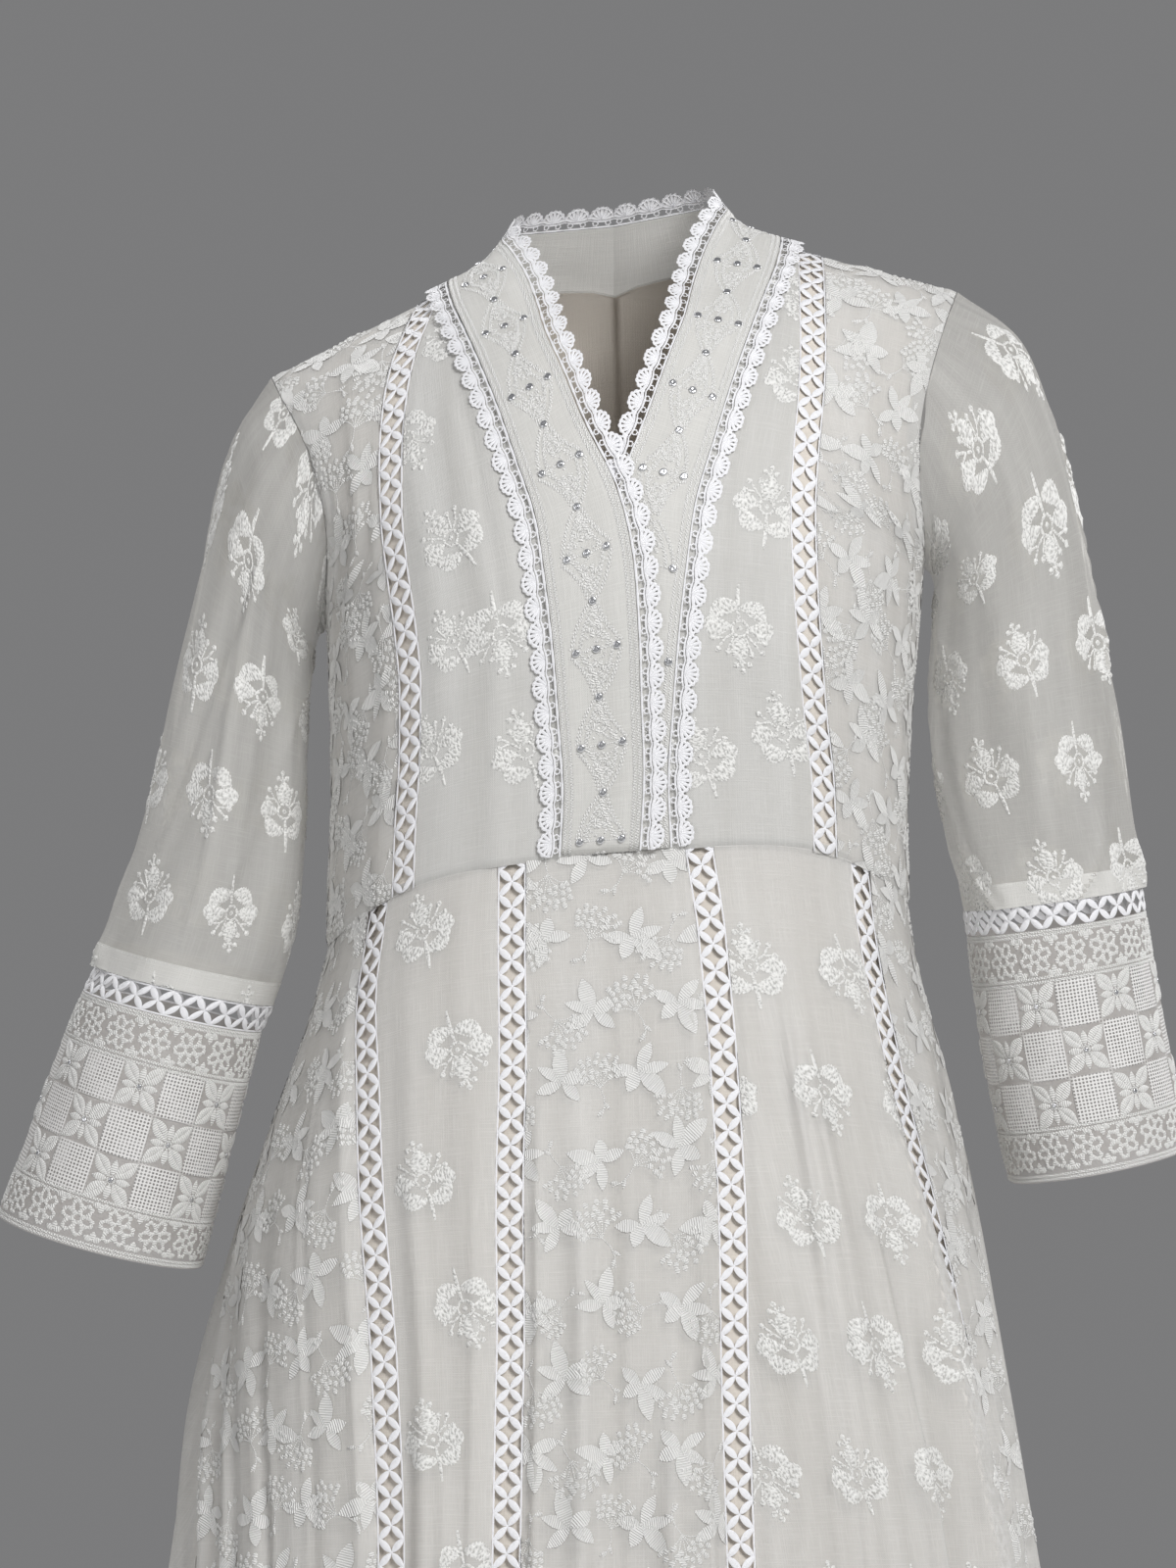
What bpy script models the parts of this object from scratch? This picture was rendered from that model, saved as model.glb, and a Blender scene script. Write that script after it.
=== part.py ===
"""An anarkali gown as it hangs on a wearer: hollow, open at neck, cuffs and hem.

Metres, +Z up. The front faces -Y and the wearer's right is at -X. The origin is at the
base of the neck, between the shoulder seams. Tables are in millimetres and degrees.
"""

import bpy
import numpy as np

MM = 0.001
WALL = 1.0 * MM
SEAM_GAP = 0.3 * MM
HEM_HEIGHT = -1250 * MM

# The waist seam dips towards the side seams, and the shoulder line falls to the arms.
WAIST_HEIGHT = -335 * MM
WAIST_DIP = 42 * MM
NECK_PEAK = 36 * MM
SHOULDER_SLOPE = 0.38
SHOULDER_ROUNDING = 20 * MM
TORSO_FULLNESS = 0.35
HEM_FULLNESS = 0.12
SKIRT_TUCK = 2.4 * MM
FOLD_GROWTH = 0.8

LACE_PITCH = 14.6 * MM
LADDER_HALF_WIDTH = 7.9 * MM
LADDER_HOLE_HALF_WIDTH = 5.0 * MM
LADDER_BRIDGE = 2.8 * MM
LADDER_END_SETBACK = 0.02
SKIRT_LADDER_OPEN = 26
SLEEVE_REPEATS = 24
SCALLOP_DEPTH = 13.8 * MM
SCALLOP_VALLEY = 0.74
SCALLOP_CROWN = (0.24, 0.76)

LACE_GAP = 0.8 * MM
SCALLOP_GAP = 1.2 * MM
LINING_INSET = 3.2 * MM
SKIRT_LINING_INSET = 4.5 * MM
LINING_BACK_FROM_BAND = 14 * MM
LINING_MEETING_GAP = 1.5 * MM
LINING_START = 0.03
LINING_HEM_LIFT = 20 * MM
LINING_ARMHOLE_SETBACK = 0.03
PLACKET_UNDERLAP = 6 * MM

# The small steps that measure a surface: an angle in radians and a share of height.
ANGLE_STEP = 0.02
SHARE_STEP = 0.04

IVORY = (0.86, 0.85, 0.80, 1.0)
LACE_WHITE = (0.84, 0.85, 0.92, 1.0)
LINING_BEIGE = (0.78, 0.73, 0.65, 1.0)


def table(columns, *rows):
    """A table with named columns, as one array for each column."""
    return dict(zip(columns.split(), np.array(rows, float).T))


# Sections of the bodice from the waist seam (share 0) to the shoulder seam (share 1).
# The armhole column is where the armhole cuts a section, as a share of its half width.
TORSO = table(
    "share half_width front back centre armhole",
    (0.000, 166.5, 116, 104, 2, 1.000),
    (0.110, 165.5, 120, 102, 2, 1.000),
    (0.220, 165.0, 124, 101, 3, 1.000),
    (0.330, 166.0, 128, 102, 4, 1.000),
    (0.440, 168.0, 128, 104, 5, 1.000),
    (0.540, 170.0, 123, 106, 6, 1.000),
    (0.640, 176.0, 113, 106, 5, 0.946),
    (0.740, 188.0, 97, 102, 3, 0.894),
    (0.830, 198.0, 76, 92, 2, 0.884),
    (0.900, 207.0, 55, 74, 1, 0.884),
    (0.955, 215.0, 34, 48, 0, 0.884),
    (1.000, 222.0, 1, 1, 0, 0.883),
)
UNDERARM = 0.54

# Where the seams cross those sections, from the centre line.
BODICE_SEAMS = table(
    "share ladder_right ladder_left placket",
    (0.000, 117.5, 116.0, 30),
    (0.110, 116.0, 114.5, 28),
    (0.220, 113.5, 110.0, 31),
    (0.330, 113.0, 106.5, 33),
    (0.440, 116.0, 104.0, 37),
    (0.540, 120.5, 103.0, 43),
    (0.640, 124.0, 105.0, 52),
    (0.740, 124.7, 108.5, 63),
    (0.830, 123.0, 110.5, 74),
    (0.900, 119.0, 111.0, 82),
    (0.955, 112.0, 111.5, 89),
    (1.000, 106.0, 112.0, 92),
)
BACK_NECK = table(
    "share half_width",
    (0.900, 0),
    (0.955, 58),
    (1.000, 89),
)

# The neckband from the waist seam to the centre back. Its outer edge lies on the bodice.
# Its inner edge does too, up to the row where it leaves the bodice and stands as a collar.
NECKBAND = table(
    "right_inner left_inner inner_y inner_z outer_x outer_z lift top_lift stands on_back",
    (-12.5, 2.0, 0, -333, 29.5, -333, 0.8, 2.8, 0, 0),
    (-14.5, 2.0, 0, -293, 28.0, -296, 0.8, 2.8, 0, 0),
    (-13.2, 2.0, 0, -252, 30.5, -257, 0.8, 2.8, 0, 0),
    (-11.8, 2.0, 0, -212, 33.5, -218, 0.8, 2.8, 0, 0),
    (-8.0, 2.0, 0, -168, 38.0, -179, 0.8, 2.8, 0, 0),
    (0.5, 2.5, 0, -134, 43.0, -146, 1.1, 2.8, 0, 0),
    (17.0, 17.0, 0, -98, 53.0, -114, 1.3, 2.8, 0, 0),
    (29.0, 29.0, 0, -66, 63.5, -82, 1.4, 1.6, 0, 0),
    (38.5, 38.5, 0, -42, 74.0, -54, 1.5, 1.5, 0, 0),
    (44.5, 44.5, -53, -20, 82.5, -33, 1.8, 1.8, 1, 0),
    (51.5, 51.5, -32, 0, 89.5, -16, 2.5, 2.5, 1, 0),
    (60.0, 60.0, -10, 17, 93.0, 0, 4.0, 4.0, 1, 0),
    (65.0, 65.0, 12, 26, 87.0, -5, 3.0, 3.0, 1, 1),
    (58.0, 58.0, 33, 30, 73.0, -8, 2.8, 2.8, 1, 1),
    (36.0, 36.0, 50, 31, 44.0, -11, 2.8, 2.8, 1, 1),
    (0.4, 0.4, 57, 30, 0.4, -13, 2.8, 2.8, 1, 1),
)
LEFT_LACE_START = 5

# Sections of the skirt from the waist seam (share 0) to the hem (share 1).
SKIRT = table(
    "share half_width front back centre",
    (0.00, 166.5, 116, 104, 2),
    (0.05, 175.0, 122, 110, 0),
    (0.12, 193.0, 136, 126, -3),
    (0.20, 210.0, 151, 143, -6),
    (0.30, 225.0, 170, 163, -7),
    (0.41, 239.0, 190, 186, -6),
    (0.55, 256.0, 214, 213, -5),
    (0.70, 275.0, 238, 240, -4),
    (0.85, 295.0, 262, 266, -3),
    (1.00, 316.0, 286, 292, -2),
)
# Angles of the skirt's seams round from the centre front, right side first.
SKIRT_SEAMS = table(
    "share side_right ladder_1 ladder_2 ladder_3 ladder_4 side_left",
    (0.00, -89, -54.0, -21.0, 15.5, 54.5, 89),
    (0.05, -89, -51.5, -19.0, 17.5, 53.5, 89),
    (0.12, -88, -43.5, -16.0, 18.5, 54.0, 88),
    (0.20, -85, -37.0, -14.2, 19.0, 58.5, 87),
    (0.30, -76, -31.5, -12.8, 18.3, 64.0, 87),
    (0.41, -67, -28.5, -12.7, 17.6, 67.5, 87),
    (0.55, -64, -27.0, -13.0, 17.2, 69.0, 87),
    (0.70, -63, -26.5, -13.2, 17.0, 69.0, 87),
    (0.85, -62, -26.3, -13.4, 16.9, 68.5, 86),
    (1.00, -61, -26.2, -13.6, 16.8, 68.0, 86),
)
# Soft ridges that run down the skirt's panels, counted round from the right side panel:
# how far across its panel each is at the waist and at the hem, how far it stands out at
# the hem, its half width in degrees and the share of height where it starts.
FOLDS = table(
    "panel at_waist at_hem depth width start",
    (0, 0.12, 0.10, 13, 4.0, 0.12),
    (0, 0.38, 0.36, 16, 4.2, 0.04),
    (0, 0.63, 0.60, 12, 3.6, 0.10),
    (0, 0.82, 0.80, 10, 2.8, 0.02),
    (1, 0.34, 0.30, 8, 2.4, 0.05),
    (1, 0.68, 0.70, 10, 2.6, 0.00),
    (2, 0.26, 0.24, 10, 3.6, 0.12),
    (2, 0.70, 0.72, 12, 4.2, 0.05),
    (3, 0.16, 0.18, 10, 3.6, 0.15),
    (3, 0.46, 0.48, 14, 6.0, 0.08),
    (3, 0.80, 0.80, 25, 4.2, 0.03),
    (4, 0.45, 0.50, 12, 4.6, 0.10),
    (5, 0.03, 0.05, 18, 5.0, 0.12),
    (5, 0.10, 0.115, 14, 4.6, 0.03),
    (5, 0.18, 0.19, 20, 5.5, 0.10),
    (5, 0.26, 0.265, 15, 4.5, 0.02),
    (5, 0.34, 0.34, 20, 5.5, 0.14),
    (5, 0.425, 0.42, 15, 5.0, 0.05),
    (5, 0.51, 0.50, 23, 6.0, 0.00),
    (5, 0.59, 0.585, 16, 5.0, 0.10),
    (5, 0.67, 0.665, 20, 5.5, 0.04),
    (5, 0.75, 0.745, 15, 4.5, 0.12),
    (5, 0.83, 0.825, 20, 5.5, 0.02),
    (5, 0.90, 0.89, 15, 4.6, 0.08),
    (5, 0.97, 0.955, 16, 4.6, 0.05),
)

# Sleeve sections below the armhole: the outer and the inner edge, and half the depth.
SLEEVE_RIGHT = table(
    "outer_x outer_z inner_x inner_z depth",
    (-212, -88, -172, -214, 61),
    (-227, -127, -174, -222, 60),
    (-238, -178, -175, -238, 57),
    (-249, -229, -176, -264, 56),
    (-262, -290, -177, -312, 57),
    (-276, -341, -180, -360, 58),
    (-287, -373, -187, -396, 59),
    (-297, -400, -196, -423, 59),
)
SLEEVE_LEFT = table(
    "outer_x outer_z inner_x inner_z depth",
    (232, -41, 182, -176, 60),
    (254, -94, 184, -184, 60),
    (268, -150, 185, -200, 58),
    (277, -206, 185, -230, 57),
    (288, -262, 186, -282, 57),
    (296, -320, 194, -332, 58),
    (300, -341, 198, -354, 58),
    (302, -355, 201, -369, 58),
)
CUFF_RIGHT = table(
    "outer_x outer_z inner_x inner_z depth",
    (-297, -400.3, -196, -423.3, 59),
    (-304, -414, -203, -438, 60),
    (-304, -414.3, -203, -438.3, 60),
    (-318, -447, -213, -477, 61),
    (-333, -488, -224, -522, 62),
    (-353, -542, -237, -573, 64),
)
CUFF_LEFT = table(
    "outer_x outer_z inner_x inner_z depth",
    (302, -355.3, 201, -369.3, 58),
    (304, -368, 203, -383, 58),
    (304, -368.3, 203, -383.3, 58),
    (311, -409, 208, -428, 60),
    (320, -456, 216, -475, 62),
    (329, -503, 227, -524, 63),
)
ARM_DEPTH_CENTRE = 4 * MM
ARMHOLE_SEAM = 0.6 * MM

# How far the figure leans at each height: rise for each metre towards the wearer's left.
LEAN = table(
    "height rise",
    (-1250, 0.000),
    (-900, 0.010),
    (-600, 0.030),
    (-340, 0.085),
    (-150, 0.110),
    (0, 0.130),
    (50, 0.150),
)

PANEL_COLUMNS = {"centre": 4, "side": 5, "back": 8, "lining": 5}
SKIRT_COLUMNS = {
    "skirt_side_right": 9,
    "skirt_front_right": 8,
    "skirt_centre": 7,
    "skirt_front_left": 11,
    "skirt_side_left": 4,
    "skirt_back": 34,
}
LINING_COLUMNS = 36
SLEEVE_FOLD = 3.5 * MM
SLEEVE_FOLD_COUNT = 5
SLEEVE_FOLD_SLANT = 7


def value(rows, column, at):
    """A table column at the given shares, straight between its rows."""
    return np.interp(at, rows["share"], rows[column])


def leaned(points):
    """Points of the upright figure, moved to its leaning pose."""
    posed = np.array(points, float)
    rise = np.interp(posed[..., 2], LEAN["height"] * MM, LEAN["rise"])
    posed[..., 2] += rise * posed[..., 0]
    return posed


def waist_height(angle):
    return WAIST_HEIGHT - WAIST_DIP * np.sin(angle) ** 4


def shoulder_height(x):
    return NECK_PEAK - SHOULDER_SLOPE * np.hypot(x, SHOULDER_ROUNDING)


def section(rows, angle, share, fullness):
    """Plan position on a section: an ellipse made fuller between front and side."""
    x = value(rows, "centre", share) + value(rows, "half_width", share) * np.sin(angle)
    depth = np.where(
        np.cos(angle) > 0, value(rows, "front", share), value(rows, "back", share)
    )
    y = -depth * np.cos(angle) * (1 + fullness * np.sin(angle) ** 2)
    return x * MM, y * MM


def torso(angle, share):
    """A point of the bodice: angle from the centre front, share of its height."""
    x, y = section(TORSO, angle, share, TORSO_FULLNESS)
    low = waist_height(angle)
    return np.stack([x, y, low + share * (shoulder_height(x) - low)], axis=-1)


def fold_height(angle, share):
    """How far the skirt's soft ridges stand out."""
    turns = np.degrees(angle)
    seams = [value(SKIRT_SEAMS, name, share) for name in list(SKIRT_SEAMS)[1:]]
    seams.append(seams[0] + 360)
    total = np.zeros(np.broadcast(angle, share).shape)
    for panel, at_waist, at_hem, depth, width, start in zip(*FOLDS.values()):
        across = at_waist + (at_hem - at_waist) * share
        first, last = seams[int(panel)], seams[int(panel) + 1]
        away = (turns - first - (last - first) * across + 180) % 360 - 180
        grown = np.clip((share - start) / (1 - start), 0, 1) ** FOLD_GROWTH
        total = total + depth * MM * grown * np.exp(-((away / width) ** 2))
    return total


def skirt(angle, share):
    """A point of the skirt: angle from the centre front, share of its length."""
    fullness = TORSO_FULLNESS + (HEM_FULLNESS - TORSO_FULLNESS) * share
    x, y = section(SKIRT, angle, share, fullness)
    low = waist_height(angle)
    z = low + share * (HEM_HEIGHT - low)
    ridge = fold_height(angle, share)
    tuck = SKIRT_TUCK * np.clip(1 - share / SKIRT["share"][1], 0, 1)
    out = ridge - tuck
    return np.stack([x + out * np.sin(angle), y - out * np.cos(angle), z], axis=-1)


def outward(surface, angle, share):
    """The unit direction that leaves a surface, measured over a small patch of it."""
    across = surface(angle + ANGLE_STEP, share) - surface(angle - ANGLE_STEP, share)
    low = np.clip(share - SHARE_STEP, 0, 1)
    high = np.clip(share + SHARE_STEP, 0, 1)
    along = surface(angle, high) - surface(angle, low)
    normal = np.cross(across, along)
    if surface is skirt:
        normal = -normal
    return normal / np.linalg.norm(normal, axis=-1, keepdims=True)


def moved(surface, angle, share, out):
    """A surface's points, moved out of it, or into it where out is negative."""
    out = np.asarray(out)
    return surface(angle, share) + out[..., None] * outward(surface, angle, share)


def beside(surface, angle, share, distance):
    """The angle that lies a distance round a surface from another angle."""
    chord = surface(angle + ANGLE_STEP, share) - surface(angle - ANGLE_STEP, share)
    return angle + distance * 2 * ANGLE_STEP / np.linalg.norm(chord, axis=-1)


def angle_at(x, share):
    """The angle on the bodice front at a distance from the centre line."""
    centre = value(TORSO, "centre", share) * MM
    return np.arcsin(np.clip((x - centre) / (value(TORSO, "half_width", share) * MM), -1, 1))


def between(left, right, columns):
    """Angles from a left to a right boundary, a row for each pair of them."""
    across = np.linspace(0, 1, columns + 1)
    return left[:, None] + (right - left)[:, None] * across


def material(name, colour, roughness):
    """A plain matt cloth."""
    made = bpy.data.materials.new(name)
    made.use_nodes = True
    shader = made.node_tree.nodes["Principled BSDF"]
    shader.inputs["Base Color"].default_value = colour
    shader.inputs["Roughness"].default_value = roughness
    shader.inputs["Metallic"].default_value = 0.0
    return made


def add_cloth(name, points, faces, colour):
    """A piece of cloth: an open surface whose wall grows inwards from its points."""
    mesh = bpy.data.meshes.new(name)
    mesh.from_pydata(leaned(points).tolist(), [], faces)
    mesh.update()
    mesh.shade_smooth()
    mesh.materials.append(material(name, colour, 0.85))
    piece = bpy.data.objects.new(name, mesh)
    gown.objects.link(piece)
    wall = piece.modifiers.new("Wall", "SOLIDIFY")
    wall.thickness = WALL
    wall.offset = -1
    return piece


def grid_faces(rows, columns, closed, flip):
    """Quads of a grid of points, a row after another, facing out."""
    faces = []
    for row in range(rows - 1):
        for column in range(columns if closed else columns - 1):
            after = (column + 1) % columns
            face = [
                row * columns + column,
                row * columns + after,
                (row + 1) * columns + after,
                (row + 1) * columns + column,
            ]
            faces.append(face[::-1] if flip else face)
    return faces


def add_panel(name, grid, colour=IVORY, closed=False, flip=False):
    """A cloth panel through a grid of points."""
    rows, columns = grid.shape[:2]
    faces = grid_faces(rows, columns, closed, flip)
    return add_cloth(name, grid.reshape(-1, 3), faces, colour)


def shares(line):
    """How far along a polyline each of its points is, from 0 to 1."""
    steps = np.linalg.norm(np.diff(line, axis=0), axis=1)
    travelled = np.concatenate([[0], np.cumsum(steps)])
    return travelled / travelled[-1]


def along(line, at):
    """Points at shares of a polyline's length."""
    own = shares(line)
    return np.stack([np.interp(at, own, line[:, axis]) for axis in range(3)], axis=-1)


def length(line):
    return np.linalg.norm(np.diff(line, axis=0), axis=1).sum()


def add_ladder(name, left, right, repeats, open_repeats, flip=False):
    """A lace strip between two edges, with a diamond hole in each open repeat."""
    pitch = (length(left) + length(right)) / 2 / repeats
    hole = LADDER_HOLE_HALF_WIDTH / LADDER_HALF_WIDTH / 2
    reach = (pitch - LADDER_BRIDGE) / 2 / pitch / repeats
    marks = np.arange(open_repeats + 1) / repeats
    middles = (marks[:-1] + marks[1:]) / 2
    later = np.flatnonzero(shares(left) > marks[-1] + 1e-6)
    edges = [
        along(line, np.concatenate([marks, shares(line)[later]]))
        for line in (left, right)
    ]

    def place(share, across):
        low, high = along(left, share), along(right, share)
        return low + (high - low) * across

    points = edges + [place(middles - reach, 0.5), place(middles, 0.5 + hole)]
    points += [place(middles + reach, 0.5), place(middles, 0.5 - hole)]
    count = len(edges[0])
    faces = []
    for row in range(count - 1):
        a, b = row, count + row
        c, d = b + 1, a + 1
        if row >= open_repeats:
            faces.append([a, b, c, d])
            continue
        low, east, high, west = (
            2 * count + side * open_repeats + row for side in range(4)
        )
        faces += [[a, b, low], [b, c, east], [c, d, high], [d, a, west]]
        faces += [[a, low, west], [b, east, low], [c, high, east], [d, west, high]]
    faces = [face[::-1] for face in faces] if flip else faces
    return add_cloth(name, np.concatenate(points), faces, LACE_WHITE)


def add_scallops(name, header, fans, flip):
    """A lace edging: a straight header, and a fan with a flat crown in each repeat."""
    repeats = round(length(header) / LACE_PITCH)
    marks = np.linspace(0, 1, repeats + 1)
    crowns = np.concatenate([marks[:-1] + crown / repeats for crown in SCALLOP_CROWN])
    valleys = along(header, marks)
    valleys = valleys + (along(fans, marks) - valleys) * SCALLOP_VALLEY
    points = np.concatenate([along(header, marks), valleys, along(fans, crowns)])
    count = len(marks)
    faces = []
    for row in range(repeats):
        first = 2 * count + row
        second = first + repeats
        faces.append([row, count + row, first])
        faces.append([row, first, second, row + 1])
        faces.append([row + 1, second, count + row + 1])
    faces = [face[::-1] for face in faces] if flip else faces
    return add_cloth(name, points, faces, LACE_WHITE)


def armhole_angle():
    """The armhole's angle on each torso section, and the side seam's below it."""
    return np.arcsin(TORSO["armhole"])


def add_bodice_front(side, name):
    """One half of the bodice front: centre panel, ladder lace and side panel."""
    share = TORSO["share"]
    seam = BODICE_SEAMS["ladder_" + name] * MM * side
    placket = (BODICE_SEAMS["placket"] * MM - PLACKET_UNDERLAP) * side
    edge = (LADDER_HALF_WIDTH + LACE_GAP) * side
    ladder = angle_at(seam, share)
    inner = angle_at(placket, share)
    inner_ladder = beside(torso, ladder, share, -edge)
    outer_ladder = beside(torso, ladder, share, edge)
    outer = beside(torso, armhole_angle() * side, share, -SEAM_GAP / 2 * side)
    centre = between(inner, inner_ladder, PANEL_COLUMNS["centre"])
    add_panel("bodice_centre_" + name, torso(centre, share[:, None]), flip=side < 0)
    flank = between(outer_ladder, outer, PANEL_COLUMNS["side"])
    add_panel("bodice_side_" + name, torso(flank, share[:, None]), flip=side < 0)
    width = LADDER_HALF_WIDTH * side
    left = torso(beside(torso, ladder, share, -width), share)
    right = torso(beside(torso, ladder, share, width), share)
    repeats = round(length(left) / LACE_PITCH)
    add_ladder("ladder_bodice_" + name, left, right, repeats, repeats, flip=side < 0)


def add_bodice_back():
    """The back, whose two halves share a centre column up to the neckline."""
    share = TORSO["share"]
    edge = armhole_angle()
    edge = beside(torso, np.pi - edge, share, SEAM_GAP / 2)
    neck = np.interp(share, BACK_NECK["share"], BACK_NECK["half_width"])
    neck = np.pi - angle_at(neck * MM, share)
    neck[share <= BACK_NECK["share"][0]] = np.pi
    columns = PANEL_COLUMNS["back"]
    left_half = between(edge, neck, columns)
    right_half = 2 * np.pi - left_half[:, ::-1]
    grid = torso(np.concatenate([left_half, right_half], axis=1), share[:, None])
    # The shoulder seam: the back panel stops a wall behind the front panels.
    grid[-1, :, 1] += WALL
    joined = np.flatnonzero(share <= BACK_NECK["share"][0])
    width = 2 * (columns + 1)
    same = {row * width + columns + 1: row * width + columns for row in joined}
    faces = []
    for face in grid_faces(len(share), width, False, False):
        if face[0] % width == columns:
            continue
        faces.append([same.get(corner, corner) for corner in face])
    used = sorted({corner for face in faces for corner in face})
    place = {corner: number for number, corner in enumerate(used)}
    faces = [[place[corner] for corner in face] for face in faces]
    add_cloth("bodice_back", grid.reshape(-1, 3)[used], faces, IVORY)


def share_at(x, z):
    """The share of the bodice's height at a place seen from the front."""
    share = (z - WAIST_HEIGHT) / (shoulder_height(x) - WAIST_HEIGHT)
    for _ in range(4):
        low = waist_height(angle_at(x, share))
        share = np.clip((z - low) / (shoulder_height(x) - low), 0, 1)
    return share


def on_bodice(x, z, on_back, lift):
    """Points on the bodice at places seen from the front, lifted off it."""
    share = share_at(x, z)
    front = angle_at(x, share)
    angle = np.where(on_back > 0, np.pi - front, front)
    points = moved(torso, angle, share, lift)
    ridge = share > 0.999
    points[ridge, 1] = 0
    points[ridge, 2] = shoulder_height(x[ridge]) + lift[ridge]
    return points


def add_neckline(side, name):
    """One neckband strip, with scallop lace on its outer and its inner edge."""
    inner_x = NECKBAND[name + "_inner"] * MM * side
    inner_z = NECKBAND["inner_z"] * MM
    outer_x = NECKBAND["outer_x"] * MM * side
    outer_z = NECKBAND["outer_z"] * MM
    on_back = NECKBAND["on_back"]
    shoulder = outer_z == 0
    outer_z[shoulder] = shoulder_height(outer_x[shoulder])
    outer_lift = NECKBAND["lift"] * MM + WALL
    inner_lift = NECKBAND["top_lift" if side < 0 else "lift"] * MM + WALL
    outer = on_bodice(outer_x, outer_z, on_back, outer_lift)
    inner = on_bodice(inner_x, inner_z, 0 * on_back, inner_lift)
    stands = NECKBAND["stands"] > 0
    inner[stands] = np.stack([inner_x, NECKBAND["inner_y"] * MM, inner_z], -1)[stands]
    columns = []
    for share in np.linspace(0, 1, 4):
        line = inner + (outer - inner) * share
        lift = inner_lift + (outer_lift - inner_lift) * share
        flat = on_bodice(line[:, 0], line[:, 2], 0 * on_back, lift)
        line[~stands] = flat[~stands]
        columns.append(line)
    add_panel("neckband_" + name, np.stack(columns, axis=1), flip=side < 0)
    run = outer - inner
    run /= np.linalg.norm(run, axis=1, keepdims=True)
    fans = outer + run * SCALLOP_DEPTH
    fans[shoulder, 2] = shoulder_height(fans[shoulder, 0])
    fans = on_bodice(fans[:, 0], fans[:, 2], on_back, outer_lift)
    header = outer + (fans - outer) * (SCALLOP_GAP / SCALLOP_DEPTH)
    add_scallops("lace_outer_" + name, header, fans, flip=side < 0)
    fans = inner - run * SCALLOP_DEPTH
    flat = on_bodice(fans[:, 0], fans[:, 2], 0 * on_back, inner_lift)
    fans[~stands] = flat[~stands]
    header = inner + (fans - inner) * (SCALLOP_GAP / SCALLOP_DEPTH)
    start = 0 if side < 0 else LEFT_LACE_START
    add_scallops("lace_inner_" + name, header[start:], fans[start:], flip=side > 0)


def add_skirt():
    """The skirt's panels and the four ladder laces between its front panels."""
    share = SKIRT["share"]
    seams = {}
    for name in list(SKIRT_SEAMS)[1:]:
        middle = np.radians(SKIRT_SEAMS[name])
        half = LADDER_HALF_WIDTH if name.startswith("ladder") else 0
        gap = LACE_GAP if half else SEAM_GAP / 2
        before = beside(skirt, middle, share, -half - gap)
        after = beside(skirt, middle, share, half + gap)
        seams[name] = (before, after)
        if half:
            left = skirt(beside(skirt, middle, share, -half), share)
            right = skirt(beside(skirt, middle, share, half), share)
            repeats = round(length(left) / LACE_PITCH)
            number = name[-1]
            add_ladder(
                "ladder_skirt_" + number, left, right, repeats, SKIRT_LADDER_OPEN, flip=True
            )
    names = list(seams)
    for panel, start, end in zip(SKIRT_COLUMNS, names, names[1:] + names[:1]):
        first, last = seams[start][1], seams[end][0]
        if panel == "skirt_back":
            last = last + 2 * np.pi
        angles = between(first, last, SKIRT_COLUMNS[panel])
        add_panel(panel, skirt(angles, share[:, None]), flip=True)


def add_linings():
    """The linings that show through the ladder laces."""
    share = TORSO["share"][:-1].copy()
    share[0] = LINING_START
    edge = np.interp(share, TORSO["share"], TORSO["armhole"])
    edge = np.arcsin(np.where(share > UNDERARM, edge - LINING_ARMHOLE_SETBACK, edge))
    for side, name in ((-1, "right"), (1, "left")):
        opening = np.interp(share, BODICE_SEAMS["share"], BODICE_SEAMS["placket"]) * MM
        opening = opening - PLACKET_UNDERLAP - LINING_BACK_FROM_BAND
        opening = np.where(share <= UNDERARM, LINING_MEETING_GAP, opening)
        outer = beside(torso, edge * side, share, -SEAM_GAP * side)
        angles = between(angle_at(opening * side, share), outer, PANEL_COLUMNS["lining"])
        inset = np.full(angles.shape, -LINING_INSET)
        grid = moved(torso, angles, share[:, None], inset)
        add_panel("lining_bodice_" + name, grid, LINING_BEIGE, flip=side < 0)
    back = share[share <= BACK_NECK["share"][0]]
    limit = beside(torso, np.pi - edge[: len(back)], back, SEAM_GAP)
    angles = between(limit, 2 * np.pi - limit, 2 * PANEL_COLUMNS["lining"])
    grid = moved(torso, angles, back[:, None], np.full(angles.shape, -LINING_INSET))
    add_panel("lining_bodice_back", grid, LINING_BEIGE)
    down = SKIRT["share"][[0, 1, 3, 5, 7, 9]]
    angles = np.tile(np.linspace(0, 2 * np.pi, LINING_COLUMNS, endpoint=False), (6, 1))
    inset = -SKIRT_LINING_INSET - fold_height(angles, down[:, None])
    grid = moved(skirt, angles, down[:, None], inset)
    grid[-1, :, 2] += LINING_HEM_LIFT
    add_panel("lining_skirt", grid, LINING_BEIGE, closed=True, flip=True)


def armhole_loop(side):
    """The armhole's edge: down the front from the shoulder, and up the back."""
    rows = TORSO["share"] >= UNDERARM
    share = TORSO["share"][rows][::-1]
    angle = np.arcsin(TORSO["armhole"][rows][::-1]) * side
    front = torso(angle, share)
    back = torso(side * np.pi - angle, share)
    front[0, 1] = 0
    loop = np.concatenate([front, back[1:-1][::-1], front[:1]])
    loop[:, 0] += ARMHOLE_SEAM * side
    middles = (loop[:-1] + loop[1:]) / 2
    return leaned(np.stack([loop[:-1], middles], axis=1).reshape(-1, 3))


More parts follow.
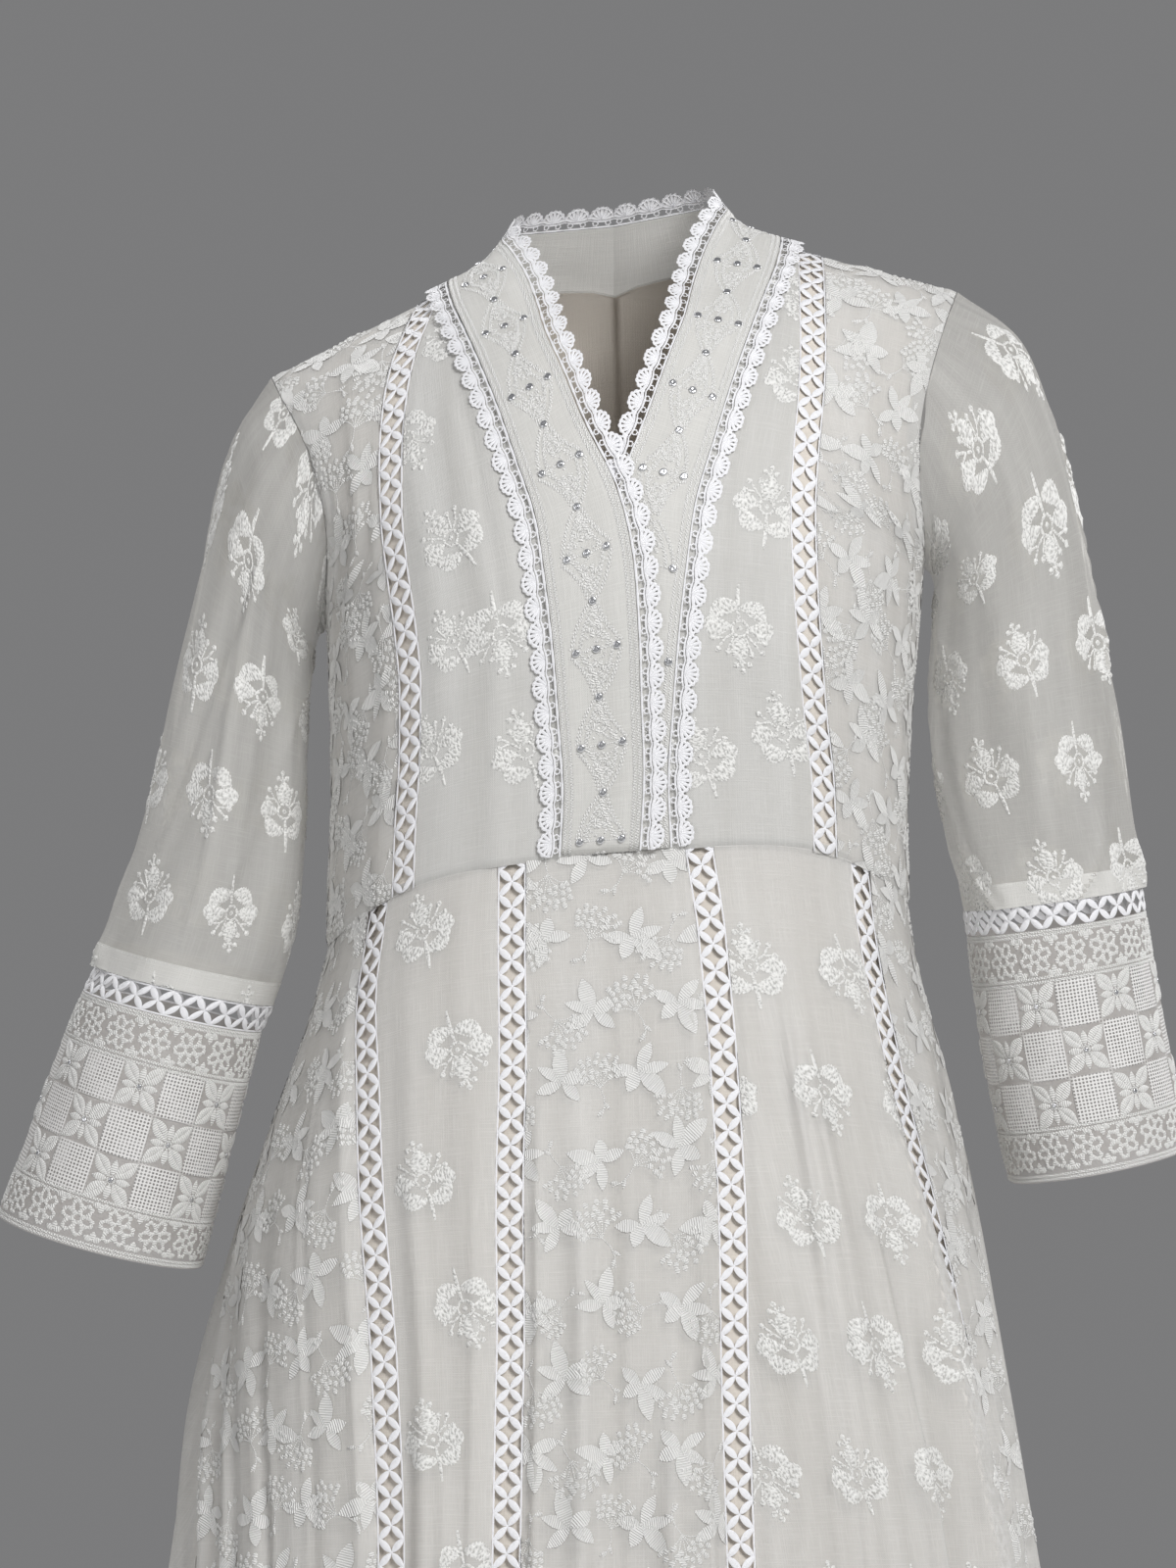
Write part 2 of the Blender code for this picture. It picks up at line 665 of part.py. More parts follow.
def rings(rows, count):
    """Elliptical sections between a sleeve's outer and inner edge."""
    turn = np.arange(count) * 2 * np.pi / count
    outer = np.stack([rows["outer_x"], 0 * rows["depth"], rows["outer_z"]], axis=-1) * MM
    inner = np.stack([rows["inner_x"], 0 * rows["depth"], rows["inner_z"]], axis=-1) * MM
    middle, reach = (outer + inner) / 2, (outer - inner) / 2
    middle[:, 1] = ARM_DEPTH_CENTRE
    grid = middle[:, None] + reach[:, None] * np.cos(turn)[:, None]
    grid[:, :, 1] -= rows["depth"][:, None] * MM * np.sin(turn)
    return grid


def sleeve_folds(grid):
    """Soft slanting folds that fade to the armhole and the cuff, and along the inner arm."""
    rows, columns = grid.shape[:2]
    turn = np.arange(columns) * 2 * np.pi / columns
    down = np.arange(rows)[:, None] / (rows - 1)
    wave = np.cos(SLEEVE_FOLD_COUNT * turn + SLEEVE_FOLD_SLANT * down)
    wave = wave * np.sin(np.pi * down) * (1 - 0.5 * np.cos(turn))
    outer_arm = 1 - np.clip(-2 * np.cos(turn) - 0.6, 0, 1)
    away = grid - grid.mean(axis=1, keepdims=True)
    away /= np.linalg.norm(away, axis=2, keepdims=True)
    return grid + away * (SLEEVE_FOLD * wave * outer_arm)[..., None]


def add_sleeve(side, name, rows, cuff_rows):
    """A sleeve from the armhole, its ladder lace in two halves, and its bell cuff."""
    loop = armhole_loop(side)
    lower = rings(rows, len(loop))
    grid = sleeve_folds(np.concatenate([loop[None], lower]))
    cuff = rings(cuff_rows, len(loop))
    add_panel("sleeve_" + name, upright(grid), closed=True, flip=side < 0)
    add_panel("cuff_" + name, upright(cuff[2:]), closed=True, flip=side < 0)
    top, bottom = (
        upright(ring) for ring in rings(cut(cuff_rows, 0, 2), SLEEVE_REPEATS * 2)
    )
    half = SLEEVE_REPEATS
    for part, start in (("front", 0), ("back", half)):
        chosen = (np.arange(half + 1) + start) % (2 * half)
        first, last = top[chosen].copy(), bottom[chosen].copy()
        for line in (first, last):
            line[0] += (line[1] - line[0]) * LADDER_END_SETBACK
            line[-1] += (line[-2] - line[-1]) * LADDER_END_SETBACK
        add_ladder(
            "ladder_sleeve_" + name + "_" + part,
            first,
            last,
            half // 2,
            half // 2,
            flip=side > 0,
        )


def cut(rows, start, end):
    """Some rows of a table."""
    return {name: column[start:end] for name, column in rows.items()}


def upright(points):
    """Points of the leaning pose, moved back to the upright figure."""
    back = np.array(points, float)
    for _ in range(6):
        back[..., 2] = points[..., 2] - np.interp(
            back[..., 2], LEAN["height"] * MM, LEAN["rise"]
        ) * points[..., 0]
    return back


for old in list(bpy.data.objects):
    bpy.data.objects.remove(old)
gown = bpy.data.collections.new("AnarkaliGown")
bpy.context.scene.collection.children.link(gown)

for side, name in ((-1, "right"), (1, "left")):
    add_bodice_front(side, name)
    add_neckline(side, name)
add_bodice_back()
add_sleeve(-1, "right", SLEEVE_RIGHT, CUFF_RIGHT)
add_sleeve(1, "left", SLEEVE_LEFT, CUFF_LEFT)
add_skirt()
add_linings()
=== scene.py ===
import bpy
import numpy as np
from math import pi
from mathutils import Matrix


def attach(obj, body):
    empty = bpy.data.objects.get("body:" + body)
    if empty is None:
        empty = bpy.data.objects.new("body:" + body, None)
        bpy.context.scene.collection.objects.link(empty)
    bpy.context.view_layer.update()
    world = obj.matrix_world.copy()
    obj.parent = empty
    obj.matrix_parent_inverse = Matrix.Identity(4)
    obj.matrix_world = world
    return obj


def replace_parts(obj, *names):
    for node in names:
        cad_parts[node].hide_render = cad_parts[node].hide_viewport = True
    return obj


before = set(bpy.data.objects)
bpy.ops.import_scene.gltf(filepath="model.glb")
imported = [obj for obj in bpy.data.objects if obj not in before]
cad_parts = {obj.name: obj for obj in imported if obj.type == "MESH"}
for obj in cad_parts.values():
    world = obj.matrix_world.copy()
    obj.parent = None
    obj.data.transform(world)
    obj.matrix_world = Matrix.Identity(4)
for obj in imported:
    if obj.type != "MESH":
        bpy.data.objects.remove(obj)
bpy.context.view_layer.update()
mm = 0.001
random = np.random.default_rng(7)
sides = (-1, "right"), (1, "left")  # the wearer's right is at negative x

# Heights are in metres from the base of the neck. The shoulder falls by a share of the distance out, the
# underarm is a share of the bodice's height, and fullness squares off the rounds of a section
gown = {"waist": -0.335, "waistDip": 0.042, "hem": -1.25, "shoulderTop": 0.036, "shoulderFall": 0.38,
        "ridge": 0.020, "underarm": 0.54, "fullness": 0.35, "waistTuck": 2.4 * mm}


def columns(names, *rows):
    return dict(zip(names.split(), np.array(rows, float).T))


# Even turns round a circle
def around(count):
    return np.arange(count) * 2 * pi / count


# Cubic between rows; the slope at a row is the harmonic mean of its neighbours', so nothing overshoots
def smoothly(at, known, values, free=False):
    at = np.clip(np.asarray(at, float), known[0], known[-1])
    extra = (1,) * (values.ndim - 1)
    step = np.diff(known).reshape(-1, *extra)
    rise = np.diff(values, axis=0) / step
    total = rise[:-1] + rise[1:]
    middle = np.where(rise[:-1] * rise[1:] > 0, 2 * rise[:-1] * rise[1:] / np.where(total == 0, 1, total), 0)
    middle = total / 2 if free else middle
    slope = np.concatenate([rise[:1], middle, rise[-1:]])
    row = np.clip(np.searchsorted(known, at, "right") - 1, 0, len(step) - 1)
    t = ((at - known[row]) / np.diff(known)[row]).reshape(at.shape + extra)
    return ((2 * t**3 - 3 * t**2 + 1) * values[row] + (3 * t**2 - 2 * t**3) * values[row + 1]
            + step[row] * ((t**3 - 2 * t**2 + t) * slope[row] + (t**3 - t**2) * slope[row + 1]))


def value(rows, name, share):
    return smoothly(share, rows["share"], rows[name])


# The gown's sections in millimetres; share is 0 at the waist seam and 1 at the shoulders or the hem
torsoRows = columns(
    "share halfWidth front back centre armhole",
    (0.000, 166.5, 116, 104, 2, 1.000), (0.110, 165.5, 120, 102, 2, 1.000),
    (0.220, 165.0, 124, 101, 3, 1.000), (0.330, 166.0, 128, 102, 4, 1.000),
    (0.440, 168.0, 128, 104, 5, 1.000), (0.540, 170.0, 123, 106, 6, 1.000),
    (0.640, 176.0, 113, 106, 5, 0.946), (0.740, 188.0, 97, 102, 3, 0.894),
    (0.830, 198.0, 76, 92, 2, 0.884), (0.900, 207.0, 55, 74, 1, 0.884),
    (0.955, 215.0, 34, 48, 0, 0.884), (1.000, 222.0, 1, 1, 0, 0.883))
bodiceSeams = columns(
    "share right left placket",
    (0.000, 117.5, 116.0, 30), (0.110, 116.0, 114.5, 28), (0.220, 113.5, 110.0, 31),
    (0.330, 113.0, 106.5, 33), (0.440, 116.0, 104.0, 37), (0.540, 120.5, 103.0, 43),
    (0.640, 124.0, 105.0, 52), (0.740, 124.7, 108.5, 63), (0.830, 123.0, 110.5, 74),
    (0.900, 119.0, 111.0, 82), (0.955, 112.0, 111.5, 89), (1.000, 106.0, 112.0, 92))
skirtRows = columns(
    "share halfWidth front back centre",
    (0.00, 166.5, 116, 104, 2), (0.05, 175.0, 122, 110, 0), (0.12, 193.0, 136, 126, -3),
    (0.20, 210.0, 151, 143, -6), (0.30, 225.0, 170, 163, -7), (0.41, 239.0, 190, 186, -6),
    (0.55, 256.0, 214, 213, -5), (0.70, 275.0, 238, 240, -4), (0.85, 295.0, 262, 266, -3),
    (1.00, 316.0, 286, 292, -2))
skirtSeams = columns(
    "share sideRight ladder1 ladder2 ladder3 ladder4 sideLeft",
    (0.00, -89, -54.0, -21.0, 15.5, 54.5, 89), (0.05, -89, -51.5, -19.0, 17.5, 53.5, 89),
    (0.12, -88, -43.5, -16.0, 18.5, 54.0, 88), (0.20, -85, -37.0, -14.2, 19.0, 58.5, 87),
    (0.30, -76, -31.5, -12.8, 18.3, 64.0, 87), (0.41, -67, -28.5, -12.7, 17.6, 67.5, 87),
    (0.55, -64, -27.0, -13.0, 17.2, 69.0, 87), (0.70, -63, -26.5, -13.2, 17.0, 69.0, 87),
    (0.85, -62, -26.3, -13.4, 16.9, 68.5, 86), (1.00, -61, -26.2, -13.6, 16.8, 68.0, 86))
leanRows = columns("height rise", (-1250, 0), (-900, 0.01), (-600, 0.03), (-340, 0.085),
                   (-150, 0.11), (0, 0.13), (50, 0.15))


# The figure leans: z = z + rise(z) * x
def leaned(points):
    rise = np.interp(points[..., 2], leanRows["height"] * mm, leanRows["rise"])
    return points + np.stack([0 * rise, 0 * rise, rise * points[..., 0]], -1)


def waistHeight(angle):
    return gown["waist"] - gown["waistDip"] * np.sin(angle) ** 4


def shoulderHeight(x):
    return gown["shoulderTop"] - gown["shoulderFall"] * np.hypot(x, gown["ridge"])


# x = centre + halfWidth sin(a), y = -depth cos(a) (1 + fullness sin(a)^2)
def section(rows, angle, share, fullness):
    depth = np.where(np.cos(angle) > 0, value(rows, "front", share), value(rows, "back", share))
    x = value(rows, "centre", share) + value(rows, "halfWidth", share) * np.sin(angle)
    return x * mm, -depth * mm * np.cos(angle) * (1 + fullness * np.sin(angle) ** 2)


def torso(angle, share):
    x, y = section(torsoRows, angle, share, gown["fullness"])
    low = waistHeight(angle)
    return np.stack([x, y, low + share * (shoulderHeight(x) - low)], -1)


# Skirt ridges, counted by panel from the right side: where each is at waist and hem,
# how far it stands out, its half width in degrees and where it starts
foldRows = columns(
    "panel top bottom depth width start",
    (0, 0.12, 0.10, 13, 4.0, 0.12), (0, 0.38, 0.36, 16, 4.2, 0.04), (0, 0.63, 0.60, 12, 3.6, 0.10),
    (0, 0.82, 0.80, 10, 2.8, 0.02), (1, 0.34, 0.30, 8, 2.4, 0.05), (1, 0.68, 0.70, 10, 2.6, 0.00),
    (2, 0.26, 0.24, 10, 3.6, 0.12), (2, 0.70, 0.72, 12, 4.2, 0.05), (3, 0.16, 0.18, 10, 3.6, 0.15),
    (3, 0.46, 0.48, 14, 6.0, 0.08), (3, 0.80, 0.80, 25, 4.2, 0.03), (4, 0.45, 0.50, 12, 4.6, 0.10),
    (5, 0.03, 0.05, 18, 5.0, 0.12), (5, 0.10, 0.115, 14, 4.6, 0.03), (5, 0.18, 0.19, 20, 5.5, 0.10),
    (5, 0.26, 0.265, 15, 4.5, 0.02), (5, 0.34, 0.34, 20, 5.5, 0.14), (5, 0.425, 0.42, 15, 5.0, 0.05),
    (5, 0.51, 0.50, 23, 6.0, 0.00), (5, 0.59, 0.585, 16, 5.0, 0.10), (5, 0.67, 0.665, 20, 5.5, 0.04),
    (5, 0.75, 0.745, 15, 4.5, 0.12), (5, 0.83, 0.825, 20, 5.5, 0.02), (5, 0.90, 0.89, 15, 4.6, 0.08),
    (5, 0.97, 0.955, 16, 4.6, 0.05))
seamNames = ["sideRight", "ladder1", "ladder2", "ladder3", "ladder4", "sideLeft"]


# Sum of depth * grown^0.8 * exp(-(away / width)^2)
def foldHeight(angle, share):
    seams = [value(skirtSeams, name, share) for name in seamNames]
    seams.append(seams[0] + 360)
    total = np.zeros(np.broadcast(angle, share).shape)
    for panel, top, bottom, depth, width, start in zip(*foldRows.values()):
        first, last = seams[int(panel)], seams[int(panel) + 1]
        across = first + (last - first) * (top + (bottom - top) * share)
        away = (np.degrees(angle) - across + 180) % 360 - 180
        grown = np.clip((share - start) / (1 - start), 0, 1)
        total = total + depth * mm * grown**0.8 * np.exp(-((away / width) ** 2))
    return total


# The skirt is tucked in under the bodice at the waist seam
def skirt(angle, share):
    x, y = section(skirtRows, angle, share, gown["fullness"] - 0.23 * share)
    low = waistHeight(angle)
    out = foldHeight(angle, share) - gown["waistTuck"] * np.clip(1 - share / 0.05, 0, 1)
    return np.stack([x + out * np.sin(angle), y - out * np.cos(angle), low + share * (gown["hem"] - low)], -1)


# The angle of a place on the bodice's front, x = centre + halfWidth sin(a)
def angleAt(x, share):
    centre, half = value(torsoRows, "centre", share) * mm, value(torsoRows, "halfWidth", share) * mm
    return np.arcsin(np.clip((x - centre) / half, -1, 1))


# The angle of the armhole's seam on the front; below the underarm it is the side seam
def armholeAt(share):
    return np.arcsin(np.minimum(value(torsoRows, "armhole", share), 1))


# The angle a distance round a surface from another angle
def beside(surface, angle, share, distance):
    chord = surface(angle + 0.02, share) - surface(angle - 0.02, share)
    return angle + distance * 0.04 / np.linalg.norm(chord, axis=-1)


# The two edges of a strip of a surface, each half its width from the middle line
def stripOf(surface, middle, share, half):
    return beside(surface, middle, share, -half), beside(surface, middle, share, half)


# A grid keeps a cloth's points, its normals and its flat size: down its middle and across each row
def gridOf(points, closed=False, sign=1):
    down = np.gradient(points, axis=0)
    across = np.roll(points, -1, 1) - np.roll(points, 1, 1) if closed else np.gradient(points, axis=1)
    normals = np.cross(down, across) * sign
    normals /= np.maximum(np.linalg.norm(normals, axis=2, keepdims=True), 1e-12)
    middle = points.mean(axis=1) if closed else points[:, points.shape[1] // 2]
    run = np.concatenate([[0], np.cumsum(np.linalg.norm(np.diff(middle, axis=0), axis=1))])
    ring = np.concatenate([points, points[:, :1]], 1) if closed else points
    width = np.linalg.norm(np.diff(ring, axis=1), axis=2).sum(axis=1)
    width = np.full(len(width), width.mean()) if closed else width
    return {"points": points, "normals": normals, "down": run, "width": width, "closed": closed, "sign": sign}


# Points of a cloth at flat places: x from its middle (from its first column where it is closed), y down
def placed(grid, x, y, lift):
    rows, count = grid["points"].shape[:2]
    row = np.interp(y, grid["down"], np.arange(rows))
    width = np.interp(row, np.arange(rows), grid["width"])
    if grid["closed"]:
        column = (x / width * count) % count
        left = np.floor(column).astype(int) % count
        right = (left + 1) % count
        s = column - np.floor(column)
    else:
        column = np.clip((0.5 + x / width) * (count - 1), 0, count - 1.001)
        left = np.floor(column).astype(int)
        right, s = left + 1, column - left
    low = np.minimum(np.floor(row).astype(int), rows - 2)
    t = (row - low)[..., None]
    s = s[..., None]

    def blend(values):
        return ((values[low, left] * (1 - s) + values[low, right] * s) * (1 - t)
                + (values[low + 1, left] * (1 - s) + values[low + 1, right] * s) * t)

    return blend(grid["points"]) + blend(grid["normals"]) * np.asarray(lift)[..., None]


# Ripples along the cloth: sum of depth * window(y) * exp(-((x - path) / width)^2), moved along the normals,
# none within a seam's reach of an open edge
def rippled(grid, ripples):
    points, rows = grid["points"], len(grid["points"])
    down = np.linspace(0, 1, rows)[:, None]
    across = np.linspace(0, 1, points.shape[1], endpoint=not grid["closed"])[None]
    out = np.zeros(points.shape[:2])
    for top, bottom, depth, width, start, end in ripples:
        away = across - (top + (bottom - top) * down)
        if grid["closed"]:
            away = (away + 0.5) % 1 - 0.5
        window = np.clip((down - start) / 0.12, 0, 1) * np.clip((end - down) / 0.12, 0, 1)
        out += depth * mm * window**2 * (3 - 2 * window) * np.exp(-((away / width) ** 2))
    if not grid["closed"]:
        out = out * np.clip(np.minimum(across, 1 - across) * grid["width"].mean() / (9 * mm), 0, 1)
    return gridOf(points + grid["normals"] * out[..., None], grid["closed"], grid["sign"])


# One socket of a material's graph; arithmetic on it adds Math nodes
class Wire:
    def __init__(self, graph, socket):
        self.graph, self.socket = graph, socket

    def math(self, operation, *values):
        return self.graph.node("ShaderNodeMath", {"operation": operation}, dict(enumerate([self, *values])))

    def __add__(self, other):
        return self.math("ADD", other)

    def __sub__(self, other):
        return self.math("SUBTRACT", other)

    def __rsub__(self, other):
        return self.graph.node("ShaderNodeMath", {"operation": "SUBTRACT"}, {0: other, 1: self})

    def __mul__(self, other):
        return self.math("MULTIPLY", other)

    __radd__, __rmul__ = __add__, __mul__

    def wave(self, pitch):
        return self.math("MULTIPLY", 2 * pi / pitch).math("SINE")

    def step(self, low, high):
        return self.graph.node("ShaderNodeMapRange", {"interpolation_type": "SMOOTHSTEP"},
                               {"Value": self, "From Min": low, "From Max": high})


# A material: its Principled shader, and every other node through one method
class Graph:
    def __init__(self, name, **shader):
        self.material = bpy.data.materials.new(name)
        self.material.use_nodes = True
        self.tree = self.material.node_tree
        self.shader = self.tree.nodes["Principled BSDF"]
        for key, constant in shader.items():
            self.shader.inputs[key.replace("_", " ")].default_value = constant

    def feed(self, socket, given):
        if isinstance(given, Wire):
            self.tree.links.new(given.socket, socket)
        else:
            socket.default_value = given

    def node(self, kind, settings, inputs, output=0):
        made = self.tree.nodes.new(kind)
        for key, setting in settings.items():
            setattr(made, key, setting)
        for key, given in inputs.items():
            self.feed(made.inputs[key], given)
        return Wire(self, made.outputs[output])

    def flat(self):
        return self.node("ShaderNodeUVMap", {"uv_map": "flat"}, {})

    def parts(self, vector):
        split = self.node("ShaderNodeSeparateXYZ", {}, {0: vector})
        return split, Wire(self, split.socket.node.outputs[1])

    # Noise with so many cycles a metre along each side of the flat cloth
    def noise(self, flat, x, y, detail=2):
        stretched = self.node("ShaderNodeVectorMath", {"operation": "MULTIPLY"}, {0: flat, 1: (x, y, 1)})
        return self.node("ShaderNodeTexNoise", {"noise_dimensions": "3D"},
                         {"Vector": stretched, "Scale": 1, "Detail": detail})

    def blend(self, factor, first, second):
        made = self.node("ShaderNodeMix", {"data_type": "RGBA"}, {0: factor}, 2)
        self.feed(made.socket.node.inputs[6], first)
        self.feed(made.socket.node.inputs[7], second)
        return made

    def bump(self, height, distance):
        normal = self.node("ShaderNodeBump", {}, {"Height": height, "Distance": distance, "Strength": 1})
        self.feed(self.shader.inputs["Normal"], normal)

    def set(self, name, wire):
        self.feed(self.shader.inputs[name], wire)


# A loose plain weave: warp and weft with uneven, slubby threads, seen through between them; its colour and
# density also run in long soft vertical streaks of painted fold shade and painted fold light
def weave(name, thinAndShaded, thickAndLit, density, pitch=0.9, gather=0.0):
    graph = Graph(name, Roughness=0.85)
    flat = graph.flat()
    u, v = graph.parts(flat)
    warp = graph.noise(flat, 1500, 45)
    weft = graph.noise(flat, 45, 1500)
    threads = u.wave(pitch * mm) * v.wave(pitch * mm)
    # Long soft vertical streaks of painted fold shade: darker and more see-through where low, lighter where
    # high
    foldShadeStreaks = graph.noise(flat, 40, 2.4)
    slubs = warp.math("MAXIMUM", weft).step(0.42, 0.75)
    graph.set("Base Color", graph.blend(slubs * 0.2 + foldShadeStreaks * 0.8, thinAndShaded, thickAndLit))
    graph.set("Alpha", density + slubs * 0.05 + threads * 0.05 + (foldShadeStreaks - 0.5) * 0.3)
    crimp = graph.noise(flat, 60, 3.5, detail=3)
    graph.bump(warp + weft + threads * 0.3 + crimp * gather, 0.25 * mm)
    return graph.material


# Satin stitches lie side by side across a petal; u runs along it and v across, in metres. Each strand's crest
# is painted lighter as a painted highlight and each groove between strands darker as painted shade
def satin(name, dark, light, pitch=1.3, relief=0.4):
    graph = Graph(name, Roughness=0.5, Sheen_Weight=0.3, Sheen_Roughness=0.4)
    flat = graph.flat()
    u, _ = graph.parts(flat)
    uneven = graph.noise(flat, 900, 90)
    strandRidgesAndShade = (u + uneven * (0.5 * mm)).wave(pitch * mm) * 0.5 + 0.5
    # Painted highlight on the strands' crests and painted shade in the grooves between them, mixed with
    # uneven thread tone
    graph.set("Base Color", graph.blend(strandRidgesAndShade * 0.7 + uneven * 0.3, dark, light))
    graph.bump(strandRidgesAndShade + uneven * 0.6, relief * mm)
    return graph.material


# Knots and chain stitches heaped over a shape, the cloth seen in the gaps between them
def knotted(name, dark, light, size):
    graph = Graph(name, Roughness=0.55, Sheen_Weight=0.3, Sheen_Roughness=0.4)
    heap = graph.noise(graph.flat(), 1 / size, 0.6 / size, detail=1).step(0.3, 0.68)
    graph.set("Base Color", graph.blend(heap, dark, light))
    graph.set("Alpha", 0.62 + heap * 1.2)
    graph.bump(heap, 0.42 * mm)
    return graph.material


# Each weave's darker colour is its thin threads' tone and its painted fold shade, its lighter colour its
# slubs' tone and its painted fold light
sheer = weave("sheerLawn", (0.68, 0.66, 0.62, 1), (0.86, 0.85, 0.82, 1), 0.42, gather=1.4)
lawn = weave("lawn", (0.70, 0.69, 0.665, 1), (0.88, 0.87, 0.85, 1), 0.66, gather=1.4)
opaque = weave("linedLawn", (0.66, 0.655, 0.63, 1), (0.80, 0.795, 0.78, 1), 0.80, gather=1.2)
doubled = weave("doubledLawn", (0.66, 0.652, 0.625, 1), (0.80, 0.792, 0.765, 1), 0.92, gather=0.6)
liningCloth = weave("liningCloth", (0.76, 0.70, 0.63, 1), (0.88, 0.825, 0.75, 1), 1.2, pitch=0.6, gather=0.4)
# The satin thread's and the lace thread's darker colours are painted shade in the grooves between strands,
# and their lighter colours painted highlight on the strands' crests, mixed with uneven tone
thread = satin("satinThread", (0.68, 0.675, 0.655, 1), (0.93, 0.925, 0.91, 1))
knots = knotted("knottedThread", (0.70, 0.695, 0.675, 1), (0.85, 0.845, 0.825, 1), 1.3 * mm)
laceThread = satin("laceThread", (0.91, 0.91, 0.97, 1), (1.0, 1.0, 1.0, 1), 0.6, 0.15)


# A mesh from whole arrays; flat holds each point's place on the flat cloth, for the patterns
def meshPiece(name, points, faces, material, flat=None):
    mesh = bpy.data.meshes.new(name)
    mesh.vertices.add(len(points))
    mesh.vertices.foreach_set("co", np.ascontiguousarray(points, np.float32).ravel())
    mesh.loops.add(faces.size)
    mesh.loops.foreach_set("vertex_index", faces.astype(np.int32).ravel())
    mesh.polygons.add(len(faces))
    mesh.polygons.foreach_set("loop_start", np.arange(len(faces), dtype=np.int32) * faces.shape[1])
    mesh.polygons.foreach_set("use_smooth", np.full(len(faces), True))
    if flat is not None:
        mesh.uv_layers.new(name="flat").data.foreach_set("uv", flat[faces].astype(np.float32).ravel())
    mesh.update(calc_edges=True)
    mesh.validate()
    mesh.materials.append(material)
    piece = bpy.data.objects.new(name, mesh)
    bpy.context.scene.collection.objects.link(piece)
    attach(piece, "root")
    return piece


# Faces between neighbouring rows and columns of a grid
def quads(rows, count, closed=False):
    row, column = np.meshgrid(np.arange(rows - 1), np.arange(count if closed else count - 1), indexing="ij")
    after = (column + 1) % count
    return np.stack([row * count + column, (row + 1) * count + column,
                     (row + 1) * count + after, row * count + after], -1).reshape(-1, 4)


# A closed grid repeats its first column, so that its flat coordinates don't wrap
def clothPiece(name, grid, material):
    points = grid["points"]
    if grid["closed"]:
        points = np.concatenate([points, points[:, :1]], 1)
    rows, count = points.shape[:2]
    u = np.linspace(0, 1, count)[None] * grid["width"][:, None]
    u = u - (0 if grid["closed"] else grid["width"][:, None] / 2)
    flat = np.stack([u, np.broadcast_to(grid["down"][:, None], (rows, count))], -1)
    return meshPiece(name, points.reshape(-1, 3), quads(rows, count), material, flat.reshape(-1, 2))


# The cloth of a grid, which stands for the CAD node of the same name
def dressed(name, material):
    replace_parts(clothPiece(name + "_cloth", grids[name], material), name)


# The faces of one shape, for every copy of it
def repeated(faces, copyCount, pointCount):
    return (faces[None] + np.arange(copyCount)[:, None, None] * pointCount).reshape(-1, 4)


# Stitched shapes: half width = width/2 * sin(pi t^lean)^round, bent sideways by bend * sin(pi t)
shapes = {"leaf": (1.0, 0.85), "petal": (1.5, 0.55), "bean": (1.0, 0.5),
          "stem": (1.0, 0.14), "oat": (1.0, 0.62), "seed": (1.0, 0.4)}


# A chart lists stitched shapes: kind, x, y, direction in degrees, length, width and bend, in mm
def chart(*rows):
    kinds = list(shapes)
    return np.array([(kinds.index(row[0]), *row[1:]) for row in rows], float)


# Shapes in a ring, each starting at a radius and turned by a twist from pointing outwards
def ringOf(kind, count, radius, twist, length, width, *bends, first=0.0):
    return [(kind, radius * np.cos(a), radius * np.sin(a), np.degrees(a) + twist, length, width, bend)
            for a in first + around(count) for bend in bends]


# Copies of a chart at places of x, y, turn and scale, in mm and degrees
def copies(motif, places):
    x, y, turn, scale = np.array(places, float).T[:, :, None]
    angle = np.radians(turn)
    kind, px, py, direction, length, width, bend = motif.T[:, None]
    out = np.stack([
        kind + 0 * x, x + scale * (px * np.cos(angle) - py * np.sin(angle)),
        y + scale * (px * np.sin(angle) + py * np.cos(angle)), direction + turn,
        length * scale, width * scale, bend * scale], -1)
    return out.reshape(-1, 7)


# Each shape is a strip of points, three across: its ridge stands proud and its edges lie on the cloth,
# or the other way round where it is cupped; jagged narrows every other point along it
def stitched(name, grid, rows, material, height=0.55, steps=7, jagged=0.0, cupped=False):
    kinds = np.array(list(shapes.values()))[rows[:, 0].astype(int)]
    x, y, direction, length, width, bend = rows[:, 1:].T[:, :, None, None]
    t = np.linspace(0.0, 1.0, steps)[None, :, None]
    side = np.array([-1.0, 0.0, 1.0])[None, None, :]
    lean, roundness = kinds[:, 0][:, None, None], kinds[:, 1][:, None, None]
    half = width / 2 * np.sin(pi * np.clip(t, 0.004, 0.996) ** lean) ** roundness
    half = half * (1 - jagged * (np.arange(steps) % 2))[None, :, None]
    ahead = t * length + 0 * side
    away = side * half + bend * np.sin(pi * t)
    angle = np.radians(direction)
    px = x + ahead * np.cos(angle) - away * np.sin(angle)
    py = y + ahead * np.sin(angle) + away * np.cos(angle)
    proud = height * np.minimum(1, width / 2.2)
    arch = 0.15 + 0.85 * side**2 if cupped else 1 - side**2
    lift = (0.12 + proud * arch * np.sin(pi * np.clip(t, 0.06, 0.94)) ** 0.5) * mm + 0 * ahead
    points = placed(grid, px * mm, -py * mm, lift)
    faces = repeated(quads(steps, 3), len(rows), steps * 3)
    start = random.uniform(0, 40, (len(rows), 1, 1))
    flat = np.stack([(ahead + start) * mm, (away + start) * mm], -1)
    return meshPiece(name, points.reshape(-1, 3), faces, material, flat.reshape(-1, 2))


# A panel between two seams, each an angle for every share
def panelGrid(surface, left, right, share, count):
    across = np.linspace(0, 1, count)
    angle = left[:, None] + (right - left)[:, None] * across
    return gridOf(leaned(surface(angle, share[:, None])))


